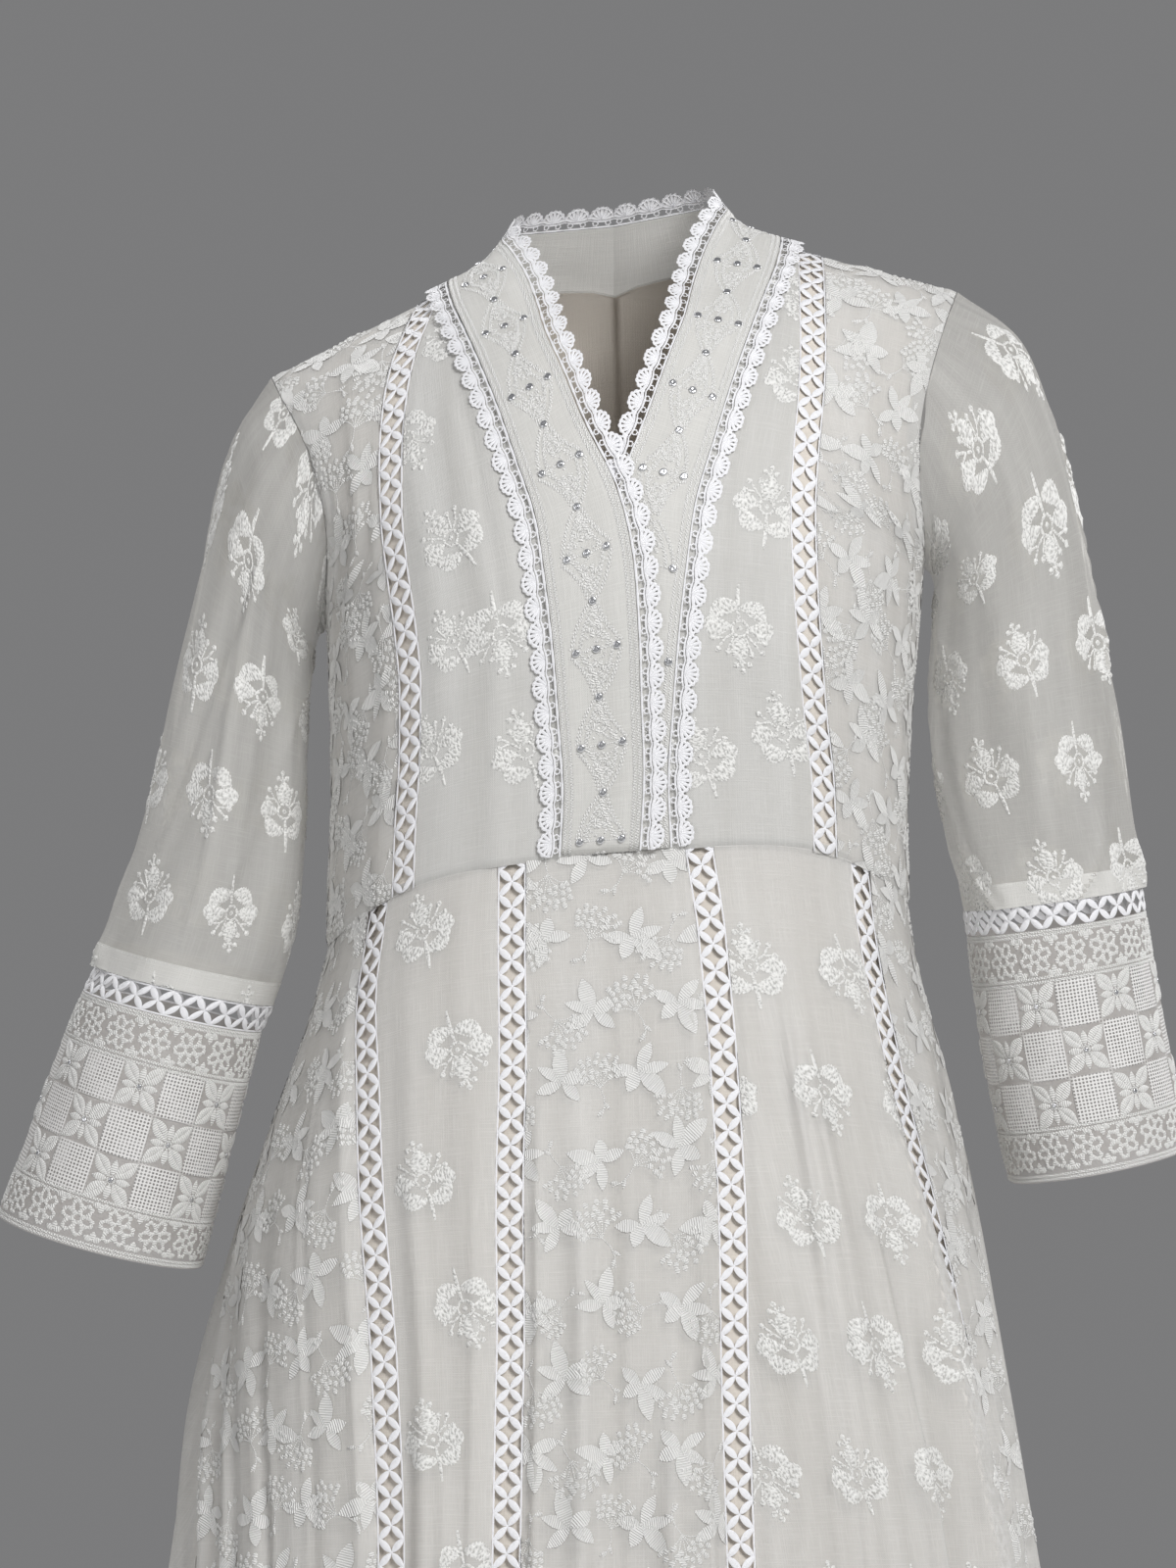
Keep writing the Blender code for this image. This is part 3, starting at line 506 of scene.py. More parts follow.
# Seeded soft creases: their places are even with some jitter, shares across and down
def creases(count, depth, width, slant=0.03, low=0.0, high=1.0, first=-0.2):
    at = low + (np.arange(count) + random.uniform(0.2, 0.8, count)) / count * (high - low)
    start = random.uniform(first, 0.35, count)
    return np.stack([at, at + random.normal(0, slant, count), depth * random.uniform(0.3, 1, count),
                     width * random.uniform(0.6, 1.5, count), start,
                     start + random.uniform(0.45, 1.1, count)], 1)


# The foot of a cloth turned in towards what lies under it
def turnedIn(grid, depth, tall):
    ease = np.clip(1 - (grid["down"][-1] - grid["down"]) / (tall * mm), 0, 1)[:, None, None] ** 2
    return gridOf(grid["points"] - grid["normals"] * ease * depth * mm, grid["closed"], grid["sign"])


# Half widths of the ladder insertion lace, of the slot that the cloths leave for it, and of a plain seam
insertion = {"lace": 7.9 * mm, "slot": 8.0 * mm, "plainSeam": 0.15 * mm, "columns": 9}

print("bodice")
bodice = {"share": np.linspace(1, 0, 150), "centreColumns": 38, "sideColumns": 34, "underBand": 6,
          "creases": (6, 1.5, 0.07, 0.05), "footIn": (1.6, 4)}
share = bodice["share"]
grids = {}
for side, name in sides:
    ladder = angleAt(value(bodiceSeams, name, share) * mm * side, share)
    placket = angleAt((value(bodiceSeams, "placket", share) - bodice["underBand"]) * mm * side, share)
    near, far = stripOf(torso, ladder, share, insertion["slot"] * side)
    edges = sorted([placket, near], key=np.mean)
    grids["bodice_centre_" + name] = panelGrid(torso, *edges, share, bodice["centreColumns"])
    edges = sorted([far, armholeAt(share) * side], key=np.mean)
    grids["bodice_side_" + name] = panelGrid(torso, *edges, share, bodice["sideColumns"])
    strip = stripOf(torso, ladder, share, insertion["lace"])
    grids["ladder_bodice_" + name] = panelGrid(torso, *strip, share, insertion["columns"])
for name in ("centre_left", "centre_right", "side_left", "side_right"):
    grid = rippled(grids["bodice_" + name], creases(*bodice["creases"]))
    grids["bodice_" + name] = turnedIn(grid, *bodice["footIn"])
    dressed("bodice_" + name, opaque if "centre" in name else lawn)

print("bodice back")
back = {"share": np.linspace(1, 0, 70), "columns": 60,
        "neck": columns("share halfWidth", (0.9, 0), (0.955, 58), (1, 89))}
share, neckFoot = back["share"], back["neck"]["share"][0]
edge = armholeAt(share)
neck = pi - angleAt(np.interp(share, back["neck"]["share"], back["neck"]["halfWidth"]) * mm, share)
neck[share <= neckFoot] = pi
halves = [panelGrid(torso, pi - edge, neck, share, back["columns"]),
          panelGrid(torso, 2 * pi - neck, pi + edge, share, back["columns"])]
whole = np.concatenate([halves[0]["points"], halves[1]["points"]], 1)
grids["bodice_back"] = gridOf(whole)
rows, count = whole.shape[:2]
faces = quads(rows, count)
neckHole = (faces[:, 0] % count == back["columns"] - 1) & (np.repeat(share[:-1], count - 1) > neckFoot)
backFaces = faces[~neckHole]
across = np.linspace(-0.2, 0.2, count)[None]
backFlat = np.stack(np.broadcast_arrays(across, grids["bodice_back"]["down"][:, None]), -1).reshape(-1, 2)
piece = meshPiece("bodice_back_cloth", whole.reshape(-1, 3), backFaces, lawn, backFlat)
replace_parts(piece, "bodice_back")

print("skirt")
# Columns of each panel; creases, and the front panels' broad folds, as spacing, depth, width and slant in mm
skirtForm = {"share": np.linspace(-0.006, 1, 200),
             "panels": {"skirt_side_right": 70, "skirt_front_right": 44, "skirt_centre": 56,
                        "skirt_front_left": 80, "skirt_side_left": 40, "skirt_back": 120},
             "creases": ((20, 5.4, 7.5, 5), (24, 2.6, 3.4, 5)), "folds": (55, 8, 16, 8)}
share = skirtForm["share"]
seams = {}
for name in seamNames:
    middle = np.radians(value(skirtSeams, name, share))
    laced = name.startswith("ladder")
    seams[name] = stripOf(skirt, middle, share, insertion["slot" if laced else "plainSeam"])
    if laced:
        strip = stripOf(skirt, middle, share, insertion["lace"])
        grids["ladder_skirt_" + name[-1]] = panelGrid(skirt, *strip, share, insertion["columns"])
for name, first, last in zip(skirtForm["panels"], seamNames, seamNames[1:] + seamNames[:1]):
    turn = 2 * pi if name == "skirt_back" else 0
    grid = panelGrid(skirt, seams[first][1], seams[last][0] + turn, share, skirtForm["panels"][name])
    wide = grid["width"].mean()
    soft = []
    for apart, depth, width, slant in skirtForm["creases"]:
        count = max(2, round(wide / (apart * mm)))
        soft.append(creases(count, depth, width * mm / wide, slant * mm / wide, first=0.01))
    apart, depth, width, slant = skirtForm["folds"]
    count = 0 if "side" in name or "back" in name else round(wide / (apart * mm))
    soft.append(creases(count, depth, width * mm / wide, slant * mm / wide, first=0.0))
    grid = rippled(grid, np.concatenate(soft))
    easing = 1.3 * mm * np.clip(1 - grid["down"] / (30 * mm), 0, 1)[:, None, None]
    grids[name] = gridOf(grid["points"] + grid["normals"] * easing)
    dressed(name, lawn)

print("sleeves")
# Squares in rows round the cuff, between an upper and a lower border, in mm
cuffForm = {"round": 14, "rows": 3, "border": 28, "creases": (4, 1.2, 0.03, 0.02),
            "net": (0.50, 0.47, 0.45, 1), "square": (0.84, 0.83, 0.82, 1)}


# The cuff's ground: a fine net, with squares of open lattice between the stars
def net(grid):
    girth, long, edge = grid["width"][0], grid["down"][-1], cuffForm["border"]
    graph = Graph("cuffNet", Roughness=0.8)
    flat = graph.flat()
    u, v = graph.parts(flat)
    tile, tall = girth / cuffForm["round"], (long - 2 * edge * mm) / cuffForm["rows"]
    squares = (u.wave(2 * tile) * (v - edge * mm).wave(2 * tall)).step(-0.05, 0.05)
    squares = squares * v.step((edge - 0.5) * mm, (edge + 0.5) * mm)
    squares = squares * (1 - v.step(long - (edge + 0.5) * mm, long - (edge - 0.5) * mm))
    uneven = graph.noise(flat, 500, 500)
    upright, level = u.wave(2.2 * mm) * 0.5 + 0.5, (v + uneven * (0.8 * mm)).wave(2.0 * mm) * 0.5 + 0.5
    holes = (upright * level).step(0.28, 0.5)
    graph.set("Base Color", graph.blend(squares * 0.75 + uneven * 0.3, cuffForm["net"], cuffForm["square"]))
    graph.set("Alpha", 0.62 + squares * 0.38 - squares * holes * 0.9)
    graph.bump(uneven * 0.5 + squares * (1 - holes), 0.6 * mm)
    return graph.material


# Rows down each arm, in mm: the outer edge, the inner edge and half the depth
armColumns = "outerX outerZ innerX innerZ depth"
sleeveRows = {
    "right": columns(armColumns,
                     (-212, -88, -172, -214, 61), (-227, -127, -174, -222, 60), (-238, -178, -175, -238, 57),
                     (-249, -229, -176, -264, 56), (-262, -290, -177, -312, 57), (-276, -341, -180, -360, 58),
                     (-287, -373, -187, -396, 59), (-297, -400, -196, -423, 59)),
    "left": columns(armColumns,
                    (232, -41, 182, -176, 60), (254, -94, 184, -184, 60), (268, -150, 185, -200, 58),
                    (277, -206, 185, -230, 57), (288, -262, 186, -282, 57), (296, -320, 194, -332, 58),
                    (300, -341, 198, -354, 58), (302, -355, 201, -369, 58))}
cuffRows = {
    "right": columns(armColumns,
                     (-297, -400.3, -196, -423.3, 59), (-304, -414, -203, -438, 60),
                     (-318, -447, -213, -477, 61), (-333, -488, -224, -522, 62),
                     (-353, -542, -237, -573, 64)),
    "left": columns(armColumns,
                    (302, -355.3, 201, -369.3, 58), (304, -368, 203, -383, 58),
                    (311, -409, 208, -428, 60), (320, -456, 216, -475, 62), (329, -503, 227, -524, 63))}
sleeve = {"columns": 104, "rows": 112, "back": 4 * mm, "seam": 0.6 * mm, "wave": 3.5 * mm,
          "creases": ((9, 2.4, 0.018, 0.10), (6, 3.0, 0.02, 0.2, 0.2, 0.8), (7, 3.4, 0.012, 0.2, 0, 1, 0))}


# Ellipses between a sleeve's outer and inner edge; the turn starts at the outer edge
def rings(rows, turn):
    outer = np.stack([rows["outerX"], 0 * rows["depth"], rows["outerZ"]], -1) * mm
    inner = np.stack([rows["innerX"], 0 * rows["depth"], rows["innerZ"]], -1) * mm
    middle, reach = (outer + inner) / 2, (outer - inner) / 2
    middle[:, 1] = sleeve["back"]
    grid = middle[:, None] + reach[:, None] * np.cos(turn)[:, None]
    grid[:, :, 1] -= rows["depth"][:, None] * mm * np.sin(turn)
    return grid


# The armhole as a ring: from the shoulder seam down the front to the underarm, and up the back
def armholeRing(side, turn):
    cut = torsoRows["share"] >= gown["underarm"]
    depth = 1 - np.abs((turn % (2 * pi)) - pi) / pi
    share = smoothly(depth, np.linspace(0, 1, cut.sum()), torsoRows["share"][cut][::-1])
    angle = armholeAt(share) * side
    ring = torso(np.where(np.sin(turn) >= 0, angle, side * pi - angle), share)
    ring[:, 0] += sleeve["seam"] * side
    return leaned(ring)


for side, name in sides:
    turn = around(sleeve["columns"]) * -side
    shape = np.concatenate([armholeRing(side, turn)[None], rings(sleeveRows[name], turn)])
    down = np.linspace(0, len(shape) - 1, sleeve["rows"])
    points = smoothly(down, np.arange(len(shape), dtype=float), shape)
    wave = np.cos(5 * turn + 7 * down[:, None] / down[-1]) * np.sin(pi * down[:, None] / down[-1])
    wave = wave * (1 - 0.5 * np.cos(turn)) * np.clip(2 * np.cos(turn) + 1.6, 0, 1)
    grid = gridOf(points, True)
    grid = gridOf(points + grid["normals"] * (sleeve["wave"] * wave)[..., None], True)
    grids["sleeve_" + name] = rippled(grid, np.concatenate([creases(*kind) for kind in sleeve["creases"]]))
    dressed("sleeve_" + name, sheer)
    # The first two rows of the cuff's table hold the ladder lace, and the others the bell
    lace = rings({key: column[:2] for key, column in cuffRows[name].items()}, turn)
    grids["ladder_sleeve_" + name] = gridOf(smoothly(np.linspace(0, 1, 5), np.arange(2.0), lace), True)
    bell = rings({key: column[1:] for key, column in cuffRows[name].items()}, turn)
    grid = gridOf(smoothly(np.linspace(0, 3, 60), np.arange(4.0), bell), True)
    grids["cuff_" + name] = rippled(grid, creases(*cuffForm["creases"]))
    dressed("cuff_" + name, net(grids["cuff_" + name]))

print("neckline")
# Rows up each strip in mm, from the placket's foot to the centre back: its inner and outer edge, its lift
# off the bodice, and whether it stands as the collar and lies on the back
neckline = {"rows": columns(
    "rightInner leftInner innerY innerZ outerX outerZ lift topLift stands onBack",
    (-12.5, 2.0, 0, -333, 29.5, -333, 0.8, 2.8, 0, 0), (-14.5, 2.0, 0, -293, 28.0, -296, 0.8, 2.8, 0, 0),
    (-13.2, 2.0, 0, -252, 30.5, -257, 0.8, 2.8, 0, 0), (-11.8, 2.0, 0, -212, 33.5, -218, 0.8, 2.8, 0, 0),
    (-8.0, 2.0, 0, -168, 38.0, -179, 0.8, 2.8, 0, 0), (0.5, 2.5, 0, -134, 43.0, -146, 1.1, 2.8, 0, 0),
    (17.0, 17.0, 0, -98, 53.0, -114, 1.3, 2.8, 0, 0), (29.0, 29.0, 0, -66, 63.5, -82, 1.4, 1.6, 0, 0),
    (38.5, 38.5, 0, -42, 74.0, -54, 1.5, 1.5, 0, 0), (44.5, 44.5, -53, -20, 82.5, -33, 1.8, 1.8, 1, 0),
    (51.5, 51.5, -32, 0, 89.5, -16, 2.5, 2.5, 1, 0), (60.0, 60.0, -10, 17, 93.0, 0, 4.0, 4.0, 1, 0),
    (65.0, 65.0, 12, 26, 87.0, -5, 3.0, 3.0, 1, 1), (58.0, 58.0, 33, 30, 73.0, -8, 2.8, 2.8, 1, 1),
    (36.0, 36.0, 50, 31, 44.0, -11, 2.8, 2.8, 1, 1), (-0.3, -0.3, 57, 30, -0.3, -13, 2.8, 2.8, 1, 1)),
    "lace": 13.8 * mm, "pitch": 14.6, "off": 1.2, "bandPoints": (240, 26), "lacePoints": (190, 7)}


# Points on the bodice at places seen from the front, lifted off it
def onBodice(x, z, onBack, lift):
    share = (z - gown["waist"]) / (shoulderHeight(x) - gown["waist"])
    for _ in range(4):
        low = waistHeight(angleAt(x, share))
        share = np.clip((z - low) / (shoulderHeight(x) - low), 0, 1)
    angle = angleAt(x, share)
    angle = np.where(onBack > 0, pi - angle, angle)
    across = torso(angle + 0.02, share) - torso(angle - 0.02, share)
    along = torso(angle, np.clip(share + 0.04, 0, 1)) - torso(angle, np.clip(share - 0.04, 0, 1))
    normal = np.cross(across, along)
    points = torso(angle, share) + normal / np.linalg.norm(normal, axis=-1, keepdims=True) * lift[..., None]
    ridge = share > 0.999
    points[ridge, 1], points[ridge, 2] = 0, shoulderHeight(x[ridge]) + lift[ridge]
    return points


# A smooth grid through a coarse one
def refined(points, rows, count):
    run = np.concatenate([[0], np.cumsum(np.linalg.norm(np.diff(points.mean(axis=1), axis=0), axis=1))])
    fine = smoothly(np.linspace(0, run[-1], rows), run, points, True)
    known = np.linspace(0, 1, points.shape[1])
    return smoothly(np.linspace(0, 1, count), known, fine.transpose(1, 0, 2), True).transpose(1, 0, 2)


# A line of points laid on the bodice's front, apart from those that stand as the collar
def laidOn(line, stands, lift):
    flat = onBodice(line[:, 0], line[:, 2], 0 * line[:, 0], lift)
    return np.where(stands[:, None], line, flat)


# A strip through lines that run from its foot to the centre back; its rows run down
def stripGrid(lines, points, sign):
    return gridOf(refined(leaned(np.stack(lines, 1)[::-1]), *points), sign=sign)


# A scallop lace on the edge of the band, tucked a little under it
def laceGrid(edge, tips, sign):
    return stripGrid([edge + (tips - edge) * k for k in (0.03, 0.5, 1)], neckline["lacePoints"], sign)


bandRows = neckline["rows"]
for side, name in sides:
    overlaps = side < 0  # the right strip lies over the left one
    innerX, innerZ = bandRows[name + "Inner"] * mm * side, bandRows["innerZ"] * mm
    outerX, outerZ = bandRows["outerX"] * mm * side, bandRows["outerZ"] * mm
    shoulder, stands = bandRows["outerZ"] == 0, bandRows["stands"] > 0
    outerZ = np.where(shoulder, shoulderHeight(outerX), outerZ)
    outerLift = (bandRows["lift"] + neckline["off"]) * mm
    innerLift = (bandRows["topLift" if overlaps else "lift"] + neckline["off"]) * mm
    outer = onBodice(outerX, outerZ, bandRows["onBack"], outerLift)
    inner = onBodice(innerX, innerZ, 0 * outerX, innerLift)
    inner[stands] = np.stack([innerX, bandRows["innerY"] * mm, innerZ], -1)[stands]
    lines = [laidOn(inner + (outer - inner) * across, stands, innerLift + (outerLift - innerLift) * across)
             for across in np.linspace(0, 1, 5)]
    run = (outer - inner) / np.linalg.norm(outer - inner, axis=1, keepdims=True)
    tips = outer + run * neckline["lace"]
    tips[shoulder, 2] = shoulderHeight(tips[shoulder, 0])
    tips = onBodice(tips[:, 0], tips[:, 2], bandRows["onBack"], outerLift - 0.4 * mm)
    innerTips = laidOn(inner - run * neckline["lace"], stands, innerLift)
    strip = stripGrid(lines, neckline["bandPoints"], side)
    grids["neckband_" + name] = turnedIn(strip, 3.2 if overlaps else 1.6, 5)
    grids["lace_outer_" + name] = laceGrid(outer, tips, side)
    shown = slice(0 if overlaps else 5, None)  # the left V lace starts above the overlap
    grids["lace_inner_" + name] = laceGrid(inner[shown], innerTips[shown], -side)
    dressed("neckband_" + name, doubled)

print("ladder laces")
ladder = {"pitch": 14.6, "round": 24, "petals": chart(
    ("oat", 0.1, 0.1, 46.5, 10.2, 3.9, 0), ("oat", -0.1, 0.1, 133.5, 10.2, 3.9, 0),
    ("oat", -0.1, -0.1, 226.5, 10.2, 3.9, 0), ("oat", 0.1, -0.1, -46.5, 10.2, 3.9, 0)),
    "tapes": chart(("stem", -7.5, -7.4, 90, 14.8, 1.3, 0), ("stem", 7.5, -7.4, 90, 14.8, 1.3, 0),
                   ("bean", -0.9, 0, 0, 1.8, 1.8, 0))}
for name in [name for name in grids if name.startswith("ladder")]:
    grid = grids[name]
    closed = grid["closed"]
    if closed:
        along, repeats = grid["width"][0] / mm, ladder["round"]
        at = (np.arange(repeats) + 0.5) * along / repeats
        places = [(x, -grid["down"][-1] / mm / 2, 90, 1) for x in at]
    else:
        along = grid["down"][-1] / mm
        repeats = round(along / ladder["pitch"])
        at = np.append(np.arange(repeats) * along / repeats, along)
        places = [(0, -y, 0, 1) for y in at]
    petals = stitched(name + "_petals", grid, copies(ladder["petals"], places), laceThread, 0.9, 9)
    stitched(name + "_tapes", grid, copies(ladder["tapes"], places), laceThread, 0.8, 5)
    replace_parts(petals, *([name + "_front", name + "_back"] if closed else [name]))

print("scallop laces")
ray = np.arange(-72, 73, 24)


# A point on a circle, by its direction in degrees
def onCircle(x, y, radius, turn):
    return x + radius * np.cos(np.radians(turn)), y + radius * np.sin(np.radians(turn))


# A fan of petals in an arc of short cords, and a row of rings between two edge cords
scallop = {"fan": chart(*[("petal", -1.6, 0, turn, 8.4, 1.9, 0) for turn in ray]),
           "edge": chart(*[("stem", *onCircle(-1.2, 0, 7.0, turn - 14), turn + 90, 3.4, 1.9, -0.5)
                           for turn in ray],
                         *[("stem", *onCircle(-3.6, y, 1.3, turn), turn + 105, 1.6, 0.8, -0.15)
                           for turn in np.arange(0, 360, 60) for y in (-3.65, 3.65)],
                         ("stem", -6.2, -7.3, 90, 14.6, 1.5, 0), ("stem", -1.4, -7.3, 90, 14.6, 1.2, 1.2))}
for name in [name for name in grids if name.startswith("lace")]:
    long = grids[name]["down"][-1] / mm
    repeats = round(long / neckline["pitch"])
    places = [(0, -(k + 0.5) * long / repeats, 0, 1) for k in range(repeats)]
    fans = stitched(name + "_fans", grids[name], copies(scallop["fan"], places), laceThread, 0.5, 6)
    stitched(name + "_edge", grids[name], copies(scallop["edge"], places), laceThread, 0.6, 4)
    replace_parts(fans, name)

print("linings")
lining = {"inset": 1.8 * mm, "skirtInset": 3.0 * mm, "columns": 24, "round": 160, "shorter": 20 * mm}
share = np.linspace(1, 0, 60)
raised = share > gown["underarm"]
outerEdge = np.arcsin(np.minimum(value(torsoRows, "armhole", share), 1) - np.where(raised, 0.03, 0))
for side, name in sides:
    start = np.where(raised, value(bodiceSeams, "placket", share) - 20, 0.2) * mm * side
    edges = sorted([angleAt(start, share), outerEdge * side], key=np.mean)
    grid = panelGrid(torso, *edges, share, lining["columns"])
    grid["points"] = grid["points"] - grid["normals"] * lining["inset"]
    grids["lining_bodice_" + name] = grid
    dressed("lining_bodice_" + name, liningCloth)
outward = grids["bodice_back"]["normals"].copy()
outward[:, 57:63] = outward[:, 56:57]  # across the neck hole
inside = (whole - outward * lining["inset"]).reshape(-1, 3)
piece = meshPiece("lining_bodice_back_cloth", inside, backFaces, liningCloth, backFlat)
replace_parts(piece, "lining_bodice_back")
share = np.linspace(-0.012, 1, 70)
angle = around(lining["round"])[None] + 0 * share[:, None]
points = skirt(angle, share[:, None])
inset = (lining["skirtInset"] + foldHeight(angle, share[:, None]))[..., None]
points = points - inset * np.stack([np.sin(angle), -np.cos(angle), 0 * angle], -1)
points[..., 2] += lining["shorter"] * np.maximum(share, 0)[:, None] ** 8
grids["lining_skirt"] = gridOf(leaned(points), True)
dressed("lining_skirt", liningCloth)

print("sprigs")
# A cloth's width at a distance down it, both in mm
def widthAt(grid, y):
    return np.interp(y, grid["down"] / mm, grid["width"] / mm)


# Half-drop rows of places across a cloth, every other one upside down: x, y, turn and scale
def lattice(grid, pitchX, pitchY, startX, startY, jitter=0.0, swing=4.0):
    count = int((grid["down"][-1] / mm + 30 - startY) / pitchY) + 1
    rows, steps = np.meshgrid(np.arange(count), np.arange(-8, 9), indexing="ij")
    x = (startX + steps * pitchX + (rows % 2) * pitchX / 2).ravel()
    y = (startY + rows * pitchY).ravel()
    x = x + random.normal(0, 1, x.size) * jitter
    y = y + random.normal(0, 1, x.size) * jitter
    turn = random.normal(0, swing, x.size) + (180 * ((rows + steps) % 2)).ravel()
    wide = widthAt(grid, y)
    keep = (x >= 0) & (x < wide - pitchX / 2) if grid["closed"] else np.abs(x) < wide / 2 + 12
    return np.stack([x, -y, turn, random.uniform(0.92, 1.06, x.size)], -1)[keep]


# Charts are in mm from the middle of the motif: its filled petals, and its fine lines and berries
butti = {
    "petals": chart(("bean", 2.8, -12.8, 35, 17.5, 10.6, -2.6), ("bean", 1.2, -12.6, 155, 17, 10.6, 2.8),
                    ("petal", 4.3, -0.6, 4, 16, 12, 1.2), ("petal", -4.2, -0.8, 188, 15.5, 12, -1.2),
                    ("bean", -0.2, 4.6, 100, 13.2, 10.2, 0)),
    "lines": chart(*ringOf("stem", 8, 4.4, 112, 3.8, 1.9, -0.3), ("bean", -1.6, 0, 0, 3.2, 3.2, 0),
                   ("stem", 1.0, -4.2, -80, 20, 2.6, 0.5),
                   *[("stem", x, y, turn, length, 1.5, 0) for x, y, turn, length in
                     ((3.6, 3.4, 42, 5), (7.2, 6.6, 8, 6), (7.2, 6.6, 60, 6.4), (2.9, 4.2, 76, 8.4),
                      (-4.2, 3.0, 142, 5), (-8, 6, 188, 6), (-8, 6, 142, 7), (-3.8, 4.4, 118, 9),
                      (-3.2, 17, 62, 3.4), (-3.2, 17, 104, 5), (-3.2, 17, 146, 3.4))],
                   *[("bean", x, y, turn, 3.9, 3.6, 0) for x, y, turn in
                     ((12, 7.2, 8), (9.4, 11.4, 60), (4.2, 11.6, 76), (-13, 5.4, 188), (-12.6, 9.4, 142),
                      (-7.2, 11, 118), (-1.8, 18.6, 50), (-4.2, 20.6, 100), (-5.6, 18, 160))])}
lattice(grids["skirt_front_right"], 400, 70, -9, 32)  # only to keep the later draws in their order
zigzag = np.arange(13)  # the narrow panel's one row of sprigs, to the left and the right in turn
buttiPlaces = {
    "bodice_centre_right": [(-12.5, -193, 20, 1), (-30, -123, 184, 1), (8, -254, 175, 1), (-36, -306, 10, 1),
                            (20, -320, 5, 1), (2, -62, 6, 0.95), (-20, -250, 12, 0.9)],
    "bodice_centre_left": [(21, -123, 8, 1), (16, -205, -12, 1), (3, -274, 172, 1), (27, -330, 4, 1),
                           (-20, -344, 8, 1), (6, -58, 190, 0.95)],
    "skirt_front_right": np.stack([np.where(zigzag % 2, 14, -7), -(32 + 70 * zigzag),
                                   4 + 180 * (zigzag % 2), 0.95 + 0 * zigzag], -1),
    "skirt_front_left": lattice(grids["skirt_front_left"], 58, 70, -31, 72),
    "sleeve_right": lattice(grids["sleeve_right"], 58.5, 63, 50, 4),
    "sleeve_left": lattice(grids["sleeve_left"], 60.3, 62, 32, 38)}
for name, places in buttiPlaces.items():
    filled = copies(butti["petals"], places)
    stitched("sprigs_" + name, grids[name], filled, knots, 0.8, 20, jagged=0.16)
    stitched("sprig_lines_" + name, grids[name], copies(butti["lines"], places), knots, 0.9, 4)

print("trailing flowers")
jaal = {
    "flower": chart(("leaf", 0, 0, 133, 21, 9.8, 0.5), ("leaf", 0, 0, 60, 13, 8.4, 0),
                    ("leaf", 0, 0, 186, 17.5, 6.8, -0.5), ("leaf", 0, 0, 240, 17, 7.4, 0),
                    ("leaf", 0, 0, -10, 15, 7.4, 0.5)),
    "spray": chart(*[("stem", 0, 0, turn, length, 0.7, bend) for turn, length, bend in
                     ((30, 11, 1), (55, 15, 0.6), (80, 12, 0), (103, 16, -0.4), (128, 12, -1),
                      (152, 10, -1))],
                   *[("bean", *onCircle(0, 0, radius, turn), turn, 3.8, 3.3, 0) for radius, turn in
                     ((10, 26), (14, 50), (11, 80), (16, 103), (11, 128), (9, 152), (6.5, 40), (8, 66),
                      (7, 95), (17, 66), (13, 36), (14, 72), (13, 92), (14, 120), (8, 140), (17, 86),
                      (12, 142), (9, 110), (17, 118), (10, 58), (17, 52), (15, 134), (13.5, 108), (12, 68),
                      (6, 120), (13, 20))],
                   ("stem", 0, 0, 262, 17, 0.8, 2.4), ("leaf", 0.5, -8, 300, 6, 2.4, 0),
                   ("leaf", 0, -12, 220, 6, 2.4, 0))}
jaalPitch = {"bodice_side_right": (38, 34), "bodice_side_left": (38, 34), "skirt_side_right": (43, 40),
             "skirt_centre": (44, 40), "skirt_side_left": (43, 40)}
for name, (pitchX, pitchY) in jaalPitch.items():
    grid = grids[name]
    flowers = copies(jaal["flower"], lattice(grid, pitchX, pitchY, -pitchX / 4, 10, 2.0, 38))
    sprays = copies(jaal["spray"], lattice(grid, pitchX, pitchY, pitchX / 4, 14, 2.0, 40))
    stitched("flowers_" + name, grid, flowers, thread, 0.4, 12, jagged=0.07, cupped=True)
    stitched("sprays_" + name, grid, sprays, thread, 0.8, 4)

print("neckband embroidery")
# Down each strip, where a row of one sequin is and how far apart such rows are; rows of three lie between
bandWork = {
    "first": {"right": 171, "left": 195}, "pitch": {"right": 52.4, "left": 52.0}, "spread": 11.5,
    "branch": chart(*[("seed", -1.6 * np.sin(pi * y / 26) + side * (0.5 + y / 30), y,
                       90 - side * 48, 3.4, 1.9, side * 0.4)
                      for y in np.arange(1.5, 27, 2.3) for side in (-1, 1)]),
    "flower": chart(*ringOf("petal", 6, 1.2, 0, 3.8, 3.0, 0), *ringOf("stem", 6, 1.3, 100, 1.5, 0.8, -0.2),
                    ("leaf", 2, -4, 300, 4.5, 2, 0.3), ("leaf", -2, -4, 240, 4.5, 2, -0.3)),
    "seed": chart(("seed", -1.3, 0, 0, 2.6, 1.4, 0.4)),
    "tie": chart(("stem", -9.5, 0, 0, 8, 0.8, 0), ("stem", 1.5, 0, 0, 8, 0.8, 0)),
    "rope": chart(("bean", -1.1, -0.9, 42, 2.9, 1.3, 0))}
beadRows = {}
